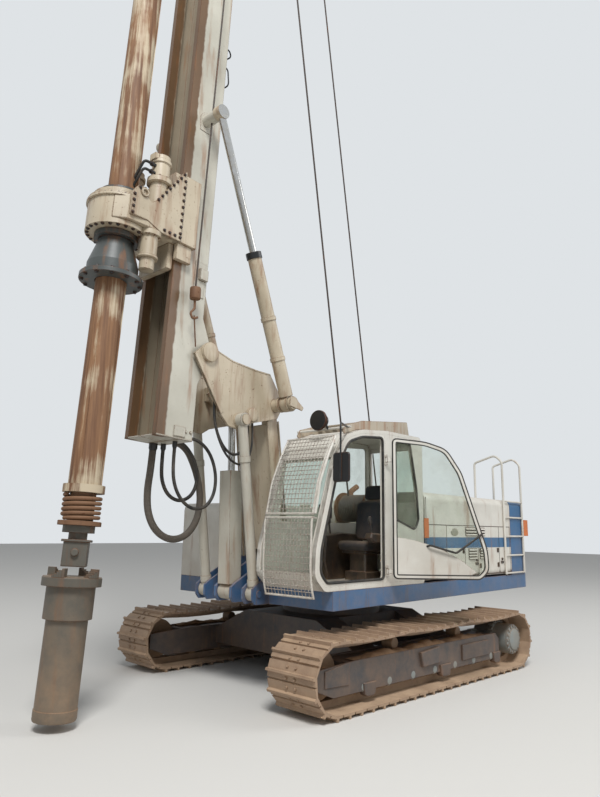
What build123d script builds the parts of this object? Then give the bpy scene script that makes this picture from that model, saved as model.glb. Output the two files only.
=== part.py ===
from build123d import *
import math
import os

os.makedirs("parts", exist_ok=True)

# Rotary piling rig on tracks, in millimetres.
# X points forward, Y to the cab side, Z up. The origin is on the slewing axis at ground level.
# The undercarriage stands turned under the upper machine, and the mast leans back from upright.
slew_at_rest = 3.15
mast_rake = 2.96
door_open_angle = 136.0

# General clearances and fastenings
pin_clearance = 0.5
moving_gap = 8.0
seat_gap = 0.3
slip_gap = 0.4

# Tracks
wheel_base = 3874.0
track_height = 804.0
overall_width = 3768.0
shoe_width = 700.0
shoe_pitch = 190.0
grouser_height = 34.0
shoe_thickness = 22.0
chain_height = 84.0
chain_width = 150.0
top_run_sag = 26.0
track_frame_height = 330.0
track_frame_bottom = 190.0
track_frame_width = 420.0
track_frame_wall = 26.0
idler_guard = 215.0
roller_radius = 92.0
roller_length = 210.0
roller_count = 7
roller_span = 2760.0
carrier_radius = 64.0
carrier_offsets = (-760.0, 640.0)
hub_radius = 205.0
sprocket_width = 70.0
idler_width = 120.0

# Carbody and slewing ring
carbody_length = 1500.0
carbody_width = 1360.0
carbody_bottom = 330.0
carbody_top = 905.0
leg_width = 430.0
leg_height = 300.0
leg_offset = 820.0
ring_radius = 640.0
ring_hole_radius = 470.0

# Upper machine
deck_bottom = 1028.0
skirt_height = 211.0
upper_half_width = 1504.0
tail_length = 3508.0
left_front = 1825.0
right_front = 1560.0
bay_half_width = 520.0
bay_front = 1180.0
house_top = 2434.0
house_wall = 40.0
house_edge_radius = 110.0
tail_corner_radius = 260.0
counterweight_length = 720.0
bay_rear = -1760.0
engine_size = (900.0, 1500.0, 800.0)
right_house_top = 2250.0
panel_gap = 6.0

# Cab
cab_rear = -100.0
cab_inner_side = 600.0
cab_outer_side = 1500.0
cab_bottom = 1239.3
cab_wall = 45.0
cab_hinge_x = 785.0
hinge_offset = 24.0
glass_thickness = 8.0
glass_inset = 18.0
glass_gap = 0.5

# Linkage pins, as (x, z) beside the slewing axis
arm_foot = (1350.0, 1427.0)
link_reach = 280.0
link_height = 2053.0
rod_foot = (1990.0, 1147.0)
lift_head = (2050.0, 3300.0)
luff_foot = (1630.0, 3480.0)
luff_side = 585.0
mast_hinge = (2780.0, 3950.0)
arm_half_width = 290.0
arm_depth = 180.0
link_side = 430.0
link_radius = 60.0
plate_side = 330.0
plate_thickness = 32.0
pin_radius = 45.0
cross_tube_radius = 88.0

# Mast, in its own upright frame about the hinge
mast_bottom = 2860.0
mast_top = 16350.0
mast_rear = 2865.0
mast_front = 3250.0
mast_half_width = 300.0
mast_wall = 14.0
rail_depth = 130.0
rail_width = 70.0
luff_lug = (3105.0, 6936.0)
luff_barrel_length = 1955.0
luff_barrel_radius = 88.0
luff_rod_radius = 48.0
sheave_radius = 300.0
sheave_height = 16780.0
aux_sheave_radius = 240.0
crowd_x = 3160.0
crowd_y = 110.0
crowd_barrel_radius = 62.0
crowd_rod_radius = 34.0
crowd_barrel_bottom = 6950.0
crowd_barrel_top = 10250.0
crowd_rod_top = 9400.0

# Rotary head and kelly, in the mast's frame
kelly_x = 3967.0
kelly_radius = 165.0
kelly_wall = 24.0
rib_radius = 174.0
rib_width = 56.0
kelly_bottom = 2240.0
kelly_top = 12800.0
head_bottom = 5065.0
head_top = 5395.0
head_radius = 352.0
gearbox_bottom = 5110.0
gearbox_top = 5520.0
gearbox_half_width = 400.0
carriage_top = 6090.0
carriage_plate = 60.0
cone_top_radius = 186.0
cone_bottom_radius = 282.0
cone_bottom = 4690.0
sleeve_flange_radius = 347.0
sleeve_flange_bottom = 4505.0
sleeve_flange_thickness = 48.0
flange_bolt_circle = 630.0
flange_bolt_count = 12
flange_bolt_radius = 13.0
bucket_radius = 235.0
bucket_head_radius = 288.0
bucket_top = 1436.0
bucket_head_bottom = 1246.0
bucket_bottom = 939.0
auger_radius = 200.0
tool_bottom = 20.0

track_centre = (overall_width - shoe_width) / 2
track_radius = track_height / 2
half_base = wheel_base / 2
deck_top = deck_bottom + skirt_height


def stand(shape):
    """Turn an undercarriage piece to the angle it stands at under the upper machine."""
    return shape.rotate(Axis.Z, -slew_at_rest)


def lean(shape):
    """Lean a piece of the mast back about the mast's hinge."""
    hinge = Axis((mast_hinge[0], 0, mast_hinge[1]), (0, 1, 0))
    return shape.rotate(hinge, -mast_rake)


def block(x_range, y_range, z_range, mode=Mode.ADD):
    """A box between two corners."""
    middle = [(low + high) / 2 for low, high in (x_range, y_range, z_range)]
    size = [abs(high - low) for low, high in (x_range, y_range, z_range)]
    with Locations(tuple(middle)):
        Box(*size, mode=mode)


def bar(start, end, radius, mode=Mode.ADD):
    """A round bar from one point to another."""
    start, end = Vector(*start), Vector(*end)
    with Locations(Plane(origin=start, z_dir=end - start)):
        Cylinder(radius, (end - start).length, align=(Align.CENTER, Align.CENTER, Align.MIN), mode=mode)


def cross_bar(x, z, y_range, radius, mode=Mode.ADD):
    """A round bar lying across the machine."""
    bar((x, y_range[0], z), (x, y_range[1], z), radius, mode)


def plate(points, y_range, corner=0.0, inset=0.0, mode=Mode.ADD):
    """A plate standing fore and aft, cut to an outline of (x, z) points or a little inside it."""
    low, high = y_range
    with BuildSketch(Plane.XZ.offset(-high)) as outline:
        with BuildLine():
            Polyline(*points, close=True)
        make_face()
        if corner:
            fillet(outline.vertices(), corner)
        if inset:
            offset(amount=-inset, kind=Kind.INTERSECTION)
    extrude(outline.sketch, amount=high - low, mode=mode)


# Tracks: one closed loop of shoes on a chain, hanging a little between its rollers above
def loop_point(distance, lift):
    """A point of the loop and its outward normal, at a distance round it and a height over its path."""
    path_radius = track_radius - grouser_height - shoe_thickness
    arc = math.pi * path_radius
    distance %= 2 * (wheel_base + arc)
    if distance < wheel_base:
        part = distance / wheel_base
        supports = 3 * part
        sag = top_run_sag * 4 * (supports % 1) * (1 - supports % 1)
        return half_base - distance, track_radius + path_radius + lift - sag
    distance -= wheel_base
    if distance < arc:
        turn = math.pi / 2 + distance / path_radius
        radius = path_radius + lift
        return -half_base + radius * math.cos(turn), track_radius + radius * math.sin(turn)
    distance -= arc
    if distance < wheel_base:
        return -half_base + distance, track_radius - path_radius - lift
    distance -= wheel_base
    turn = -math.pi / 2 + distance / path_radius
    radius = path_radius + lift
    return half_base + radius * math.cos(turn), track_radius + radius * math.sin(turn)


loop_length = 2 * (wheel_base + math.pi * (track_radius - grouser_height - shoe_thickness))
shoe_count = round(loop_length / shoe_pitch)
real_pitch = loop_length / shoe_count
# One shoe's outline: (share of the pitch, height over the chain)
shoe_profile = (
    (0.03, 0.0),
    (0.05, shoe_thickness),
    (0.30, shoe_thickness),
    (0.34, shoe_thickness + grouser_height),
    (0.46, shoe_thickness + grouser_height),
    (0.50, shoe_thickness),
    (0.94, shoe_thickness),
    (0.96, 0.0),
)
shoe_points = [
    loop_point((shoe + share) * real_pitch, height)
    for shoe in range(shoe_count)
    for share, height in shoe_profile
]
chain_inner = [loop_point((step + 0.5) * real_pitch, -chain_height) for step in range(shoe_count)]
shoe_inner = [loop_point((step + 0.5) * real_pitch, -4.0) for step in range(shoe_count)]

for side, name in ((1, "left"), (-1, "right")):
    middle = side * track_centre
    with BuildPart() as track:
        plate(shoe_points, (middle - shoe_width / 2, middle + shoe_width / 2))
        plate(shoe_inner, (middle - shoe_width / 2, middle + shoe_width / 2), mode=Mode.SUBTRACT)
        with BuildSketch(Plane.XZ.offset(-(middle + chain_width / 2))):
            with BuildLine():
                Polyline(*[loop_point((step + 0.5) * real_pitch, 1.0) for step in range(shoe_count)], close=True)
            make_face()
            with BuildLine():
                Polyline(*chain_inner, close=True)
            make_face(mode=Mode.SUBTRACT)
        extrude(amount=chain_width)
    track.part.label = f"track_{name}"
    export_step(stand(track.part), f"parts/track_{name}.step")

# Track frames: a box beam with side plates that fork round the idler
chain_radius = track_radius - grouser_height - shoe_thickness - chain_height
wheel_radius = chain_radius * math.cos(real_pitch / (chain_radius + chain_height) / 2) - seat_gap
frame_top = track_frame_bottom + track_frame_height
frame_outline = (
    (-half_base + 330, track_frame_bottom + 60),
    (-half_base + 480, track_frame_bottom),
    (half_base - 60, track_frame_bottom),
    (half_base + idler_guard, track_radius - 105),
    (half_base + idler_guard, track_radius + 85),
    (half_base - 420, frame_top),
    (-half_base + 420, frame_top),
    (-half_base + 330, frame_top - 80),
)
beam_bottom = track_radius - roller_radius + 70
for side, name in ((1, "left"), (-1, "right")):
    middle = side * track_centre
    half = track_frame_width / 2
    with BuildPart() as track_frame:
        for sign in (-1, 1):
            edge = middle + sign * half
            plate(frame_outline, tuple(sorted((edge, edge - sign * track_frame_wall))), corner=18.0)
        block(
            (-half_base + 420, half_base - wheel_radius - 90),
            (middle - half, middle + half),
            (beam_bottom, frame_top - 20),
        )
    track_frame.part.label = f"track_frame_{name}"
    export_step(stand(track_frame.part), f"parts/track_frame_{name}.step")

# Idler, bottom rollers and carrier rollers, on axles held by the side plates
roller_height = track_radius - chain_radius + roller_radius + seat_gap
for side, name in ((1, "left"), (-1, "right")):
    middle = side * track_centre
    inside = track_frame_width / 2 - track_frame_wall - seat_gap
    with BuildPart() as wheels:
        for index in range(roller_count):
            x = -roller_span / 2 + index * roller_span / (roller_count - 1)
            cross_bar(x, roller_height, (middle - roller_length / 2, middle + roller_length / 2), roller_radius)
            cross_bar(x, roller_height, (middle - inside, middle + inside), 0.45 * roller_radius)
        for x in carrier_offsets:
            height = track_radius + chain_radius - carrier_radius - 10
            cross_bar(x, height, (middle - chain_width / 2, middle + chain_width / 2), carrier_radius)
            block((x - 40, x + 40), (middle - 30, middle + 30), (frame_top - 20 + seat_gap, height))
        cross_bar(half_base, track_radius, (middle - idler_width / 2, middle + idler_width / 2), wheel_radius)
        cross_bar(half_base, track_radius, (middle - inside, middle + inside), 90.0)
    wheels.part.label = f"rollers_{name}"
    export_step(stand(wheels.part), f"parts/rollers_{name}.step")

# Final drives: toothed sprocket and the hub that stands out beyond the side plate
tooth_count = 21
for side, name in ((1, "left"), (-1, "right")):
    middle = side * track_centre
    with BuildPart() as drive:
        cross_bar(-half_base, track_radius, (middle - sprocket_width / 2, middle + sprocket_width / 2), wheel_radius - 26)
        with BuildSketch(Plane.XZ.offset(-(middle + sprocket_width / 2))):
            with Locations((-half_base, track_radius)):
                with PolarLocations(wheel_radius - 26, tooth_count):
                    Rectangle(50, 34)
        extrude(amount=sprocket_width)
        outer = middle + side * (track_frame_width / 2 + 40)
        inner = middle - side * (track_frame_width / 2 + 60)
        cross_bar(-half_base, track_radius, tuple(sorted((outer, inner))), hub_radius)
        cross_bar(-half_base, track_radius, tuple(sorted((outer, outer + side * 34))), hub_radius - 60)
        block(
            (-half_base + hub_radius - 60, -half_base + 330 + 30),
            tuple(sorted((middle - side * (track_frame_width / 2 + seat_gap), inner))),
            (track_radius - 110, track_radius + 110),
        )
    drive.part.label = f"final_drive_{name}"
    export_step(stand(drive.part), f"parts/final_drive_{name}.step")

# Carbody: centre box with four legs to the track frames, and the fixed half of the slewing ring
with BuildPart() as carbody:
    block(
        (-carbody_length / 2, carbody_length / 2),
        (-carbody_width / 2, carbody_width / 2),
        (carbody_bottom + 40, carbody_top - 120),
    )
    reach = track_centre - track_frame_width / 2 - seat_gap
    for x in (-leg_offset, leg_offset):
        with BuildSketch(Plane.YZ.offset(x - leg_width / 2)):
            with BuildLine():
                Polyline(
                    (-reach, carbody_bottom - 60),
                    (reach, carbody_bottom - 60),
                    (reach, carbody_bottom - 60 + leg_height * 0.72),
                    (carbody_width / 2, carbody_top - 120),
                    (-carbody_width / 2, carbody_top - 120),
                    (-reach, carbody_bottom - 60 + leg_height * 0.72),
                    close=True,
                )
            make_face()
        extrude(amount=leg_width)
    with Locations((0, 0, carbody_top - 60)):
        Cylinder(ring_radius + 50, 120)
    with Locations((0, 0, (carbody_bottom + carbody_top) / 2)):
        Cylinder(ring_hole_radius - 40, carbody_top, mode=Mode.SUBTRACT)
carbody.part.label = "carbody"
export_step(stand(carbody.part), "parts/carbody.step")

with BuildPart() as slew_ring:
    with Locations((0, 0, (carbody_top + deck_bottom) / 2)):
        Cylinder(ring_radius, deck_bottom - carbody_top - 2 * seat_gap)
        Cylinder(ring_hole_radius, deck_bottom, mode=Mode.SUBTRACT)
slew_ring.part.label = "slew_ring"
export_step(stand(slew_ring.part), "parts/slew_ring.step")

# Deck: the turning frame with its blue skirt, and the lugs that carry the mast's linkage
with BuildPart() as deck:
    with BuildSketch(Plane.XY.offset(deck_bottom)) as deck_outline:
        with BuildLine():
            Polyline(
                (left_front, upper_half_width),
                (-tail_length, upper_half_width),
                (-tail_length, -upper_half_width),
                (right_front, -upper_half_width),
                (right_front, -bay_half_width),
                (bay_front, -bay_half_width),
                (bay_front, bay_half_width),
                (left_front, bay_half_width),
                close=True,
            )
        make_face()
        fillet(deck_outline.vertices().sort_by(Axis.X)[:2], tail_corner_radius)
    extrude(amount=skirt_height)
    rod_x, rod_z = rod_foot
    arm_x, arm_z = arm_foot
    for low, high in ((120.0, 160.0), (link_side - 100.0, link_side - 70.0), (link_side + 70.0, link_side + 88.0)):
        for sign in (-1, 1):
            plate(
                (
                    (bay_front - 60, deck_bottom),
                    (rod_x + 60, deck_bottom),
                    (rod_x + 110, rod_z - 60),
                    (rod_x + 110, rod_z + 60),
                    (rod_x + 40, rod_z + 110),
                    (arm_x + 120, arm_z + 110),
                    (arm_x - 120, arm_z + 110),
                    (bay_front - 60, deck_top),
                ),
                tuple(sorted((sign * low, sign * high))),
            )
    block((bay_front - 60, rod_x - 120), (-link_side - 60, link_side + 60), (deck_bottom, deck_bottom + 40))
    for sign in (-1, 1):
        cross_bar(rod_x, rod_z, tuple(sorted((sign * (link_side - 100), sign * (link_side + 100)))), pin_radius)
    cross_bar(rod_x, rod_z, (-160, 160), pin_radius)
    cross_bar(arm_x, arm_z, (-link_side - 60, link_side + 60), pin_radius + 10)
deck.part.label = "deck"
export_step(deck.part, "parts/deck.step")

# House: a thin shell round the engine, open below, with a bay for the winches behind the cab
with BuildPart() as engine_house:
    rear = -tail_length + counterweight_length + panel_gap
    with BuildSketch(Plane.YZ.offset(rear)) as section:
        with BuildLine():
            Polyline(
                (-upper_half_width, deck_top),
                (upper_half_width, deck_top),
                (upper_half_width, house_top),
                (-upper_half_width, house_top),
                close=True,
            )
        make_face()
        fillet(section.vertices().group_by(Axis.Z)[-1], house_edge_radius)
    extrude(amount=cab_rear - 30 - rear)
    block(
        (bay_rear, 0),
        (-upper_half_width, bay_half_width),
        (deck_top, house_top),
        mode=Mode.SUBTRACT,
    )
    block(
        (rear + house_wall, bay_rear - house_wall),
        (-upper_half_width + house_wall, upper_half_width - house_wall),
        (deck_top, house_top - house_wall),
        mode=Mode.SUBTRACT,
    )
    block(
        (bay_rear - house_wall, cab_rear - 30 - house_wall),
        (bay_half_width + house_wall, upper_half_width - house_wall),
        (deck_top, house_top - house_wall),
        mode=Mode.SUBTRACT,
    )
engine_house.part.label = "engine_house"
export_step(engine_house.part, "parts/engine_house.step")

with BuildPart() as engine:
    length, width, height = engine_size
    block((bay_rear - 80 - length, bay_rear - 80), (-width / 2, width / 2), (deck_top, deck_top + height))
engine.part.label = "engine"
export_step(engine.part, "parts/engine.step")

with BuildPart() as counterweight:
    with BuildSketch(Plane.XY.offset(deck_top)) as weight_outline:
        with BuildLine():
            Polyline(
                (-tail_length, -upper_half_width),
                (-tail_length, upper_half_width),
                (-tail_length + counterweight_length, upper_half_width),
                (-tail_length + counterweight_length, -upper_half_width),
                close=True,
            )
        make_face()
        fillet(weight_outline.vertices().group_by(Axis.X)[0], tail_corner_radius)
    extrude(amount=house_top - deck_top)
    fillet(counterweight.edges().group_by(Axis.Z)[-1].filter_by(Axis.X), house_edge_radius)
counterweight.part.label = "counterweight"
export_step(counterweight.part, "parts/counterweight.step")

# Right side: tank and valve house beside the mast
with BuildPart() as right_house:
    with BuildSketch(Plane.XZ.offset(bay_half_width)) as side_outline:
        with BuildLine():
            Polyline(
                (bay_rear + panel_gap, deck_top),
                (right_front, deck_top),
                (right_front, right_house_top),
                (bay_rear + panel_gap, right_house_top),
                close=True,
            )
        make_face()
        fillet(side_outline.vertices().group_by(Axis.X)[-1].sort_by(Axis.Z)[-1], house_edge_radius)
    extrude(amount=upper_half_width - bay_half_width)
    block(
        (bay_rear + panel_gap + house_wall, right_front - house_wall),
        (-upper_half_width + house_wall, -bay_half_width - house_wall),
        (deck_top, right_house_top - house_wall),
        mode=Mode.SUBTRACT,
    )
right_house.part.label = "right_house"
export_step(right_house.part, "parts/right_house.step")

# Winches in the bay: two drums between cheek plates
winches = (("main", -640.0, 1000.0 + deck_top, 250.0), ("aux", -1370.0, 1000.0 + deck_top, 210.0))
drum_half = 280.0
with BuildPart() as winch_frame:
    for name, x, z, radius in winches:
        for sign in (-1, 1):
            inner = sign * (drum_half + moving_gap)
            outer = sign * (drum_half + moving_gap + 40)
            plate(
                (
                    (x - radius - 60, deck_top),
                    (x + radius + 60, deck_top),
                    (x + 110, z + 110),
                    (x - 110, z + 110),
                ),
                tuple(sorted((inner, outer))),
            )
        cross_bar(x, z, (-drum_half - 40, drum_half + 40), pin_radius)
        block((x - radius - 60, x + radius + 60), (-drum_half - 48, drum_half + 48), (deck_top, deck_top + 30))
winch_frame.part.label = "winch_frame"
export_step(winch_frame.part, "parts/winch_frame.step")

for name, x, z, radius in winches:
    with BuildPart() as drum:
        cross_bar(x, z, (-drum_half, drum_half), radius - 70)
        for sign in (-1, 1):
            cross_bar(x, z, tuple(sorted((sign * drum_half, sign * (drum_half - 22)))), radius)
        cross_bar(x, z, (-drum_half - 1, drum_half + 1), pin_radius + pin_clearance, mode=Mode.SUBTRACT)
    drum.part.label = f"{name}_winch_drum"
    export_step(drum.part, f"parts/{name}_winch_drum.step")

# Cab: hollow shell of bent panels with window openings; the side is open where the door fits
cab_profile = (
    (cab_rear, cab_bottom),
    (1960.0, cab_bottom),
    (2130.0, 1450.0),
    (2100.0, 1700.0),
    (1960.0, 2170.0),
    (1800.0, 2700.0),
    (1660.0, 2960.0),
    (1300.0, 3100.0),
    (760.0, 3160.0),
    (cab_rear + 60, 3160.0),
    (cab_rear, 3080.0),
)
door_profile = (
    (cab_hinge_x + 25, cab_bottom + 55),
    (1900.0, cab_bottom + 55),
    (2045.0, 1470.0),
    (2020.0, 1680.0),
    (1885.0, 2145.0),
    (1725.0, 2660.0),
    (1600.0, 2890.0),
    (1260.0, 3025.0),
    (cab_hinge_x + 25, 3075.0),
)
quarter_window = (
    (cab_rear + 90, 2290.0),
    (cab_hinge_x - 150, 2290.0),
    (cab_hinge_x - 150, 3060.0),
    (cab_rear + 90, 3060.0),
)
inner_window = (
    (cab_rear + 90, 2000.0),
    (1800.0, 2000.0),
    (1700.0, 2700.0),
    (1560.0, 2950.0),
    (cab_rear + 90, 3060.0),
)
door_window = (
    (cab_hinge_x + 110, 2060.0),
    (1830.0, 2060.0),
    (1660.0, 2610.0),
    (1550.0, 2815.0),
    (1240.0, 2935.0),
    (cab_hinge_x + 110, 2980.0),
)
# Windows of the front and the back: x, y and z ranges
front_window = ((1700.0, 2200.0), (cab_inner_side + 70, cab_outer_side - 70), (1400.0, 2860.0))
back_window = ((cab_rear - 1, cab_rear + cab_wall + 1), (cab_inner_side + 90, cab_outer_side - 90), (2290.0, 3000.0))
with BuildPart() as cab_shell:
    with BuildSketch(Plane.XZ.offset(-cab_outer_side)) as cab_outline:
        with BuildLine():
            Polyline(*cab_profile, close=True)
        make_face()
    extrude(amount=cab_outer_side - cab_inner_side)
    with BuildSketch(Plane.XZ.offset(-cab_outer_side + cab_wall)) as cab_inside:
        with BuildLine():
            Polyline(*cab_profile, close=True)
        make_face()
        offset(amount=-cab_wall, kind=Kind.INTERSECTION)
    extrude(amount=cab_outer_side - cab_inner_side - 2 * cab_wall, mode=Mode.SUBTRACT)
    plate(door_profile, (cab_outer_side - cab_wall - 1, cab_outer_side + 1), mode=Mode.SUBTRACT)
    plate(quarter_window, (cab_outer_side - cab_wall - 1, cab_outer_side + 1), mode=Mode.SUBTRACT)
    plate(inner_window, (cab_inner_side - 1, cab_inner_side + cab_wall + 1), mode=Mode.SUBTRACT)
    block(*front_window, mode=Mode.SUBTRACT)
    block(*back_window, mode=Mode.SUBTRACT)
    for z in (1420.0, 2780.0):
        for offset_z in (-62.0, 38.0):
            block(
                (cab_hinge_x - 12, cab_hinge_x + 12),
                (cab_outer_side, cab_outer_side + hinge_offset + 12),
                (z + offset_z, z + offset_z + 24),
            )
        bar(
            (cab_hinge_x, cab_outer_side + hinge_offset, z - 50),
            (cab_hinge_x, cab_outer_side + hinge_offset, z + 50),
            8.0,
        )
cab_shell.part.label = "cab_shell"
export_step(cab_shell.part, "parts/cab_shell.step")

# Door, made closed and then swung open about its hinge
def swing(shape):
    """Swing the door open about its hinge."""
    hinge = Axis((cab_hinge_x, cab_outer_side + hinge_offset, 0), (0, 0, 1))
    return shape.rotate(hinge, door_open_angle)


with BuildPart() as cab_door:
    with BuildSketch(Plane.XZ.offset(-cab_outer_side)) as door_outline:
        with BuildLine():
            Polyline(*door_profile, close=True)
        make_face()
        offset(amount=-moving_gap, kind=Kind.INTERSECTION)
    extrude(amount=cab_wall - 5)
    plate(door_window, (cab_outer_side - cab_wall - 1, cab_outer_side + 1), mode=Mode.SUBTRACT)
    for z in (1420.0, 2780.0):
        bar(
            (cab_hinge_x, cab_outer_side + hinge_offset, z - 30),
            (cab_hinge_x, cab_outer_side + hinge_offset, z + 30),
            16.0,
        )
        block(
            (cab_hinge_x, cab_hinge_x + 90),
            (cab_outer_side + moving_gap, cab_outer_side + moving_gap + 10),
            (z - 30, z + 30),
        )
        block(
            (cab_hinge_x + 45, cab_hinge_x + 90),
            (cab_outer_side - 5, cab_outer_side + moving_gap),
            (z - 30, z + 30),
        )
        bar(
            (cab_hinge_x, cab_outer_side + hinge_offset, z - 40),
            (cab_hinge_x, cab_outer_side + hinge_offset, z + 40),
            8.0 + pin_clearance,
            mode=Mode.SUBTRACT,
        )
cab_door.part.label = "cab_door"
export_step(swing(cab_door.part), "parts/cab_door.step")

with BuildPart() as door_glass:
    middle = cab_outer_side - cab_wall / 2
    plate(door_window, (middle - glass_thickness / 2, middle + glass_thickness / 2), inset=glass_gap)
door_glass.part.label = "door_glass"
export_step(swing(door_glass.part), "parts/door_glass.step")

# Glass panes stand in the windows, inside the wall
with BuildPart() as cab_glass:
    y_range = (cab_inner_side + 70 + glass_gap, cab_outer_side - 70 - glass_gap)
    for inset, mode in ((glass_inset, Mode.ADD), (glass_inset + glass_thickness, Mode.SUBTRACT)):
        plate(cab_profile, y_range, inset=inset, mode=mode)
    x_range, y_range, z_range = front_window
    block((x_range[0] + glass_gap, x_range[1]), y_range, (z_range[0] + glass_gap, z_range[1] - glass_gap),
          mode=Mode.INTERSECT)
    x_range, y_range, z_range = back_window
    block(
        (cab_rear + glass_inset, cab_rear + glass_inset + glass_thickness),
        (y_range[0] + glass_gap, y_range[1] - glass_gap),
        (z_range[0] + glass_gap, z_range[1] - glass_gap),
    )
    plate(
        quarter_window,
        (cab_outer_side - glass_inset - glass_thickness, cab_outer_side - glass_inset),
        inset=glass_gap,
    )
    plate(
        inner_window,
        (cab_inner_side + glass_inset, cab_inner_side + glass_inset + glass_thickness),
        inset=glass_gap,
    )
cab_glass.part.label = "cab_glass"
export_step(cab_glass.part, "parts/cab_glass.step")


# Linkage of the mast: a wide box arm behind, two tie rods in front and a bracket on top
def along(start, end, distance, lift=0.0):
    """A point (x, z) at a distance along the line from start to end, lifted off it to the front."""
    length = math.dist(start, end)
    dx, dz = (end[0] - start[0]) / length, (end[1] - start[1]) / length
    return start[0] + dx * distance + dz * lift, start[1] + dz * distance - dx * lift


def strut(start, end, near, far, half_depth, y_range, mode=Mode.ADD):
    """A straight box member along the line from start to end, from one distance to another."""
    corners = ((near, -half_depth), (far, -half_depth), (far, half_depth), (near, half_depth))
    plate([along(start, end, distance, lift) for distance, lift in corners], y_range, mode=mode)


def rod(start, end, near, far, y, radius, mode=Mode.ADD):
    """A round member along the line from start to end, at one place across the machine."""
    low, high = along(start, end, near), along(start, end, far)
    bar((low[0], y, low[1]), (high[0], y, high[1]), radius, mode)


arm_length = math.dist(arm_foot, luff_foot)
with BuildPart() as arm:
    strut(arm_foot, luff_foot, 230, arm_length - 230, arm_depth / 2, (-arm_half_width, arm_half_width))
    strut(
        arm_foot,
        luff_foot,
        200,
        arm_length - 200,
        arm_depth / 2 - 16,
        (16 - arm_half_width, arm_half_width - 16),
        mode=Mode.SUBTRACT,
    )
    for sign in (-1, 1):
        cheek = tuple(sorted((sign * 175, sign * arm_half_width)))
        strut(arm_foot, luff_foot, 0, 300, 75, cheek)
        strut(arm_foot, luff_foot, arm_length - 300, arm_length, 85, cheek)
        cross_bar(*arm_foot, cheek, 100)
        cross_bar(*luff_foot, cheek, 140)
    cross_bar(*arm_foot, (-arm_half_width - 1, arm_half_width + 1), pin_radius + 10 + pin_clearance, mode=Mode.SUBTRACT)
    cross_bar(
        *luff_foot, (-arm_half_width - 1, arm_half_width + 1), cross_tube_radius + pin_clearance, mode=Mode.SUBTRACT
    )
arm.part.label = "arm"
export_step(arm.part, "parts/arm.step")

rod_head = (rod_foot[0] + link_reach, rod_foot[1] + link_height)
rod_length = math.dist(rod_foot, rod_head)
with BuildPart() as tie_rods:
    for sign in (-1, 1):
        eye = tuple(sorted((sign * (link_side - 60), sign * (link_side + 60))))
        rod(rod_foot, rod_head, 60, rod_length - 60, sign * link_side, link_radius)
        for x, z in (rod_foot, rod_head):
            cross_bar(x, z, eye, 85)
            cross_bar(x, z, (eye[0] - 1, eye[1] + 1), pin_radius + pin_clearance, mode=Mode.SUBTRACT)
tie_rods.part.label = "tie_rods"
export_step(tie_rods.part, "parts/tie_rods.step")

# Lift cylinder: a square barrel between the deck and the bracket
lift_length = math.dist(rod_foot, lift_head)
lift_barrel_end = 1470.0
lift_rod_radius = 45.0
lift_eye_half = 62.0 - slip_gap
with BuildPart() as lift_barrel:
    strut(rod_foot, lift_head, 90, lift_barrel_end, 100, (-100, 100))
    cross_bar(*rod_foot, (-112, 112), 95)
    rod(rod_foot, lift_head, 500, lift_barrel_end + 1, 0, lift_rod_radius + 1, mode=Mode.SUBTRACT)
    cross_bar(*rod_foot, (-113, 113), pin_radius + pin_clearance, mode=Mode.SUBTRACT)
lift_barrel.part.label = "lift_barrel"
export_step(lift_barrel.part, "parts/lift_barrel.step")

with BuildPart() as lift_rod:
    rod(rod_foot, lift_head, 900, lift_length - 40, 0, lift_rod_radius)
    cross_bar(*lift_head, (-lift_eye_half, lift_eye_half), 80)
lift_rod.part.label = "lift_rod"
export_step(lift_rod.part, "parts/lift_rod.step")

bracket_outline = (
    (3000.0, 3900.0),
    (2870.0, 4010.0),
    (2670.0, 4010.0),
    (2390.0, 3927.0),
    (2000.0, 3889.0),
    (1740.0, 3882.0),
    (1560.0, 3640.0),
    (1500.0, 3460.0),
    (1590.0, 3310.0),
    (2150.0, 3165.0),
    (2270.0, 3090.0),
    (2430.0, 3110.0),
    (2560.0, 3240.0),
)
lift_lug = ((2130.0, 3230.0), (2420.0, 3560.0), (2250.0, 3700.0), (1960.0, 3700.0), (1950.0, 3270.0))
with BuildPart() as bracket:
    for sign in (-1, 1):
        cheek = tuple(sorted((sign * plate_side, sign * (plate_side + plate_thickness))))
        plate(bracket_outline, cheek)
        cross_bar(*mast_hinge, cheek, 110)
        cross_bar(*mast_hinge, (cheek[0] - 1, cheek[1] + 1), 60 + pin_clearance, mode=Mode.SUBTRACT)
        cross_bar(*rod_head, tuple(sorted((sign * plate_side, sign * 500))), pin_radius)
        cross_bar(*rod_head, tuple(sorted((sign * 498, sign * 514))), 66)
        cross_bar(*luff_foot, tuple(sorted((sign * 490, sign * 660))), 60)
        cross_bar(*luff_foot, tuple(sorted((sign * 648, sign * 690))), 84)
        plate(lift_lug, tuple(sorted((sign * 62, sign * 100))))
    cross_bar(*luff_foot, (-500, 500), cross_tube_radius)
    block((1960, 2250), (-plate_side - 1, plate_side + 1), (3520, 3700))
bracket.part.label = "bracket"
export_step(bracket.part, "parts/bracket.step")

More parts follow.
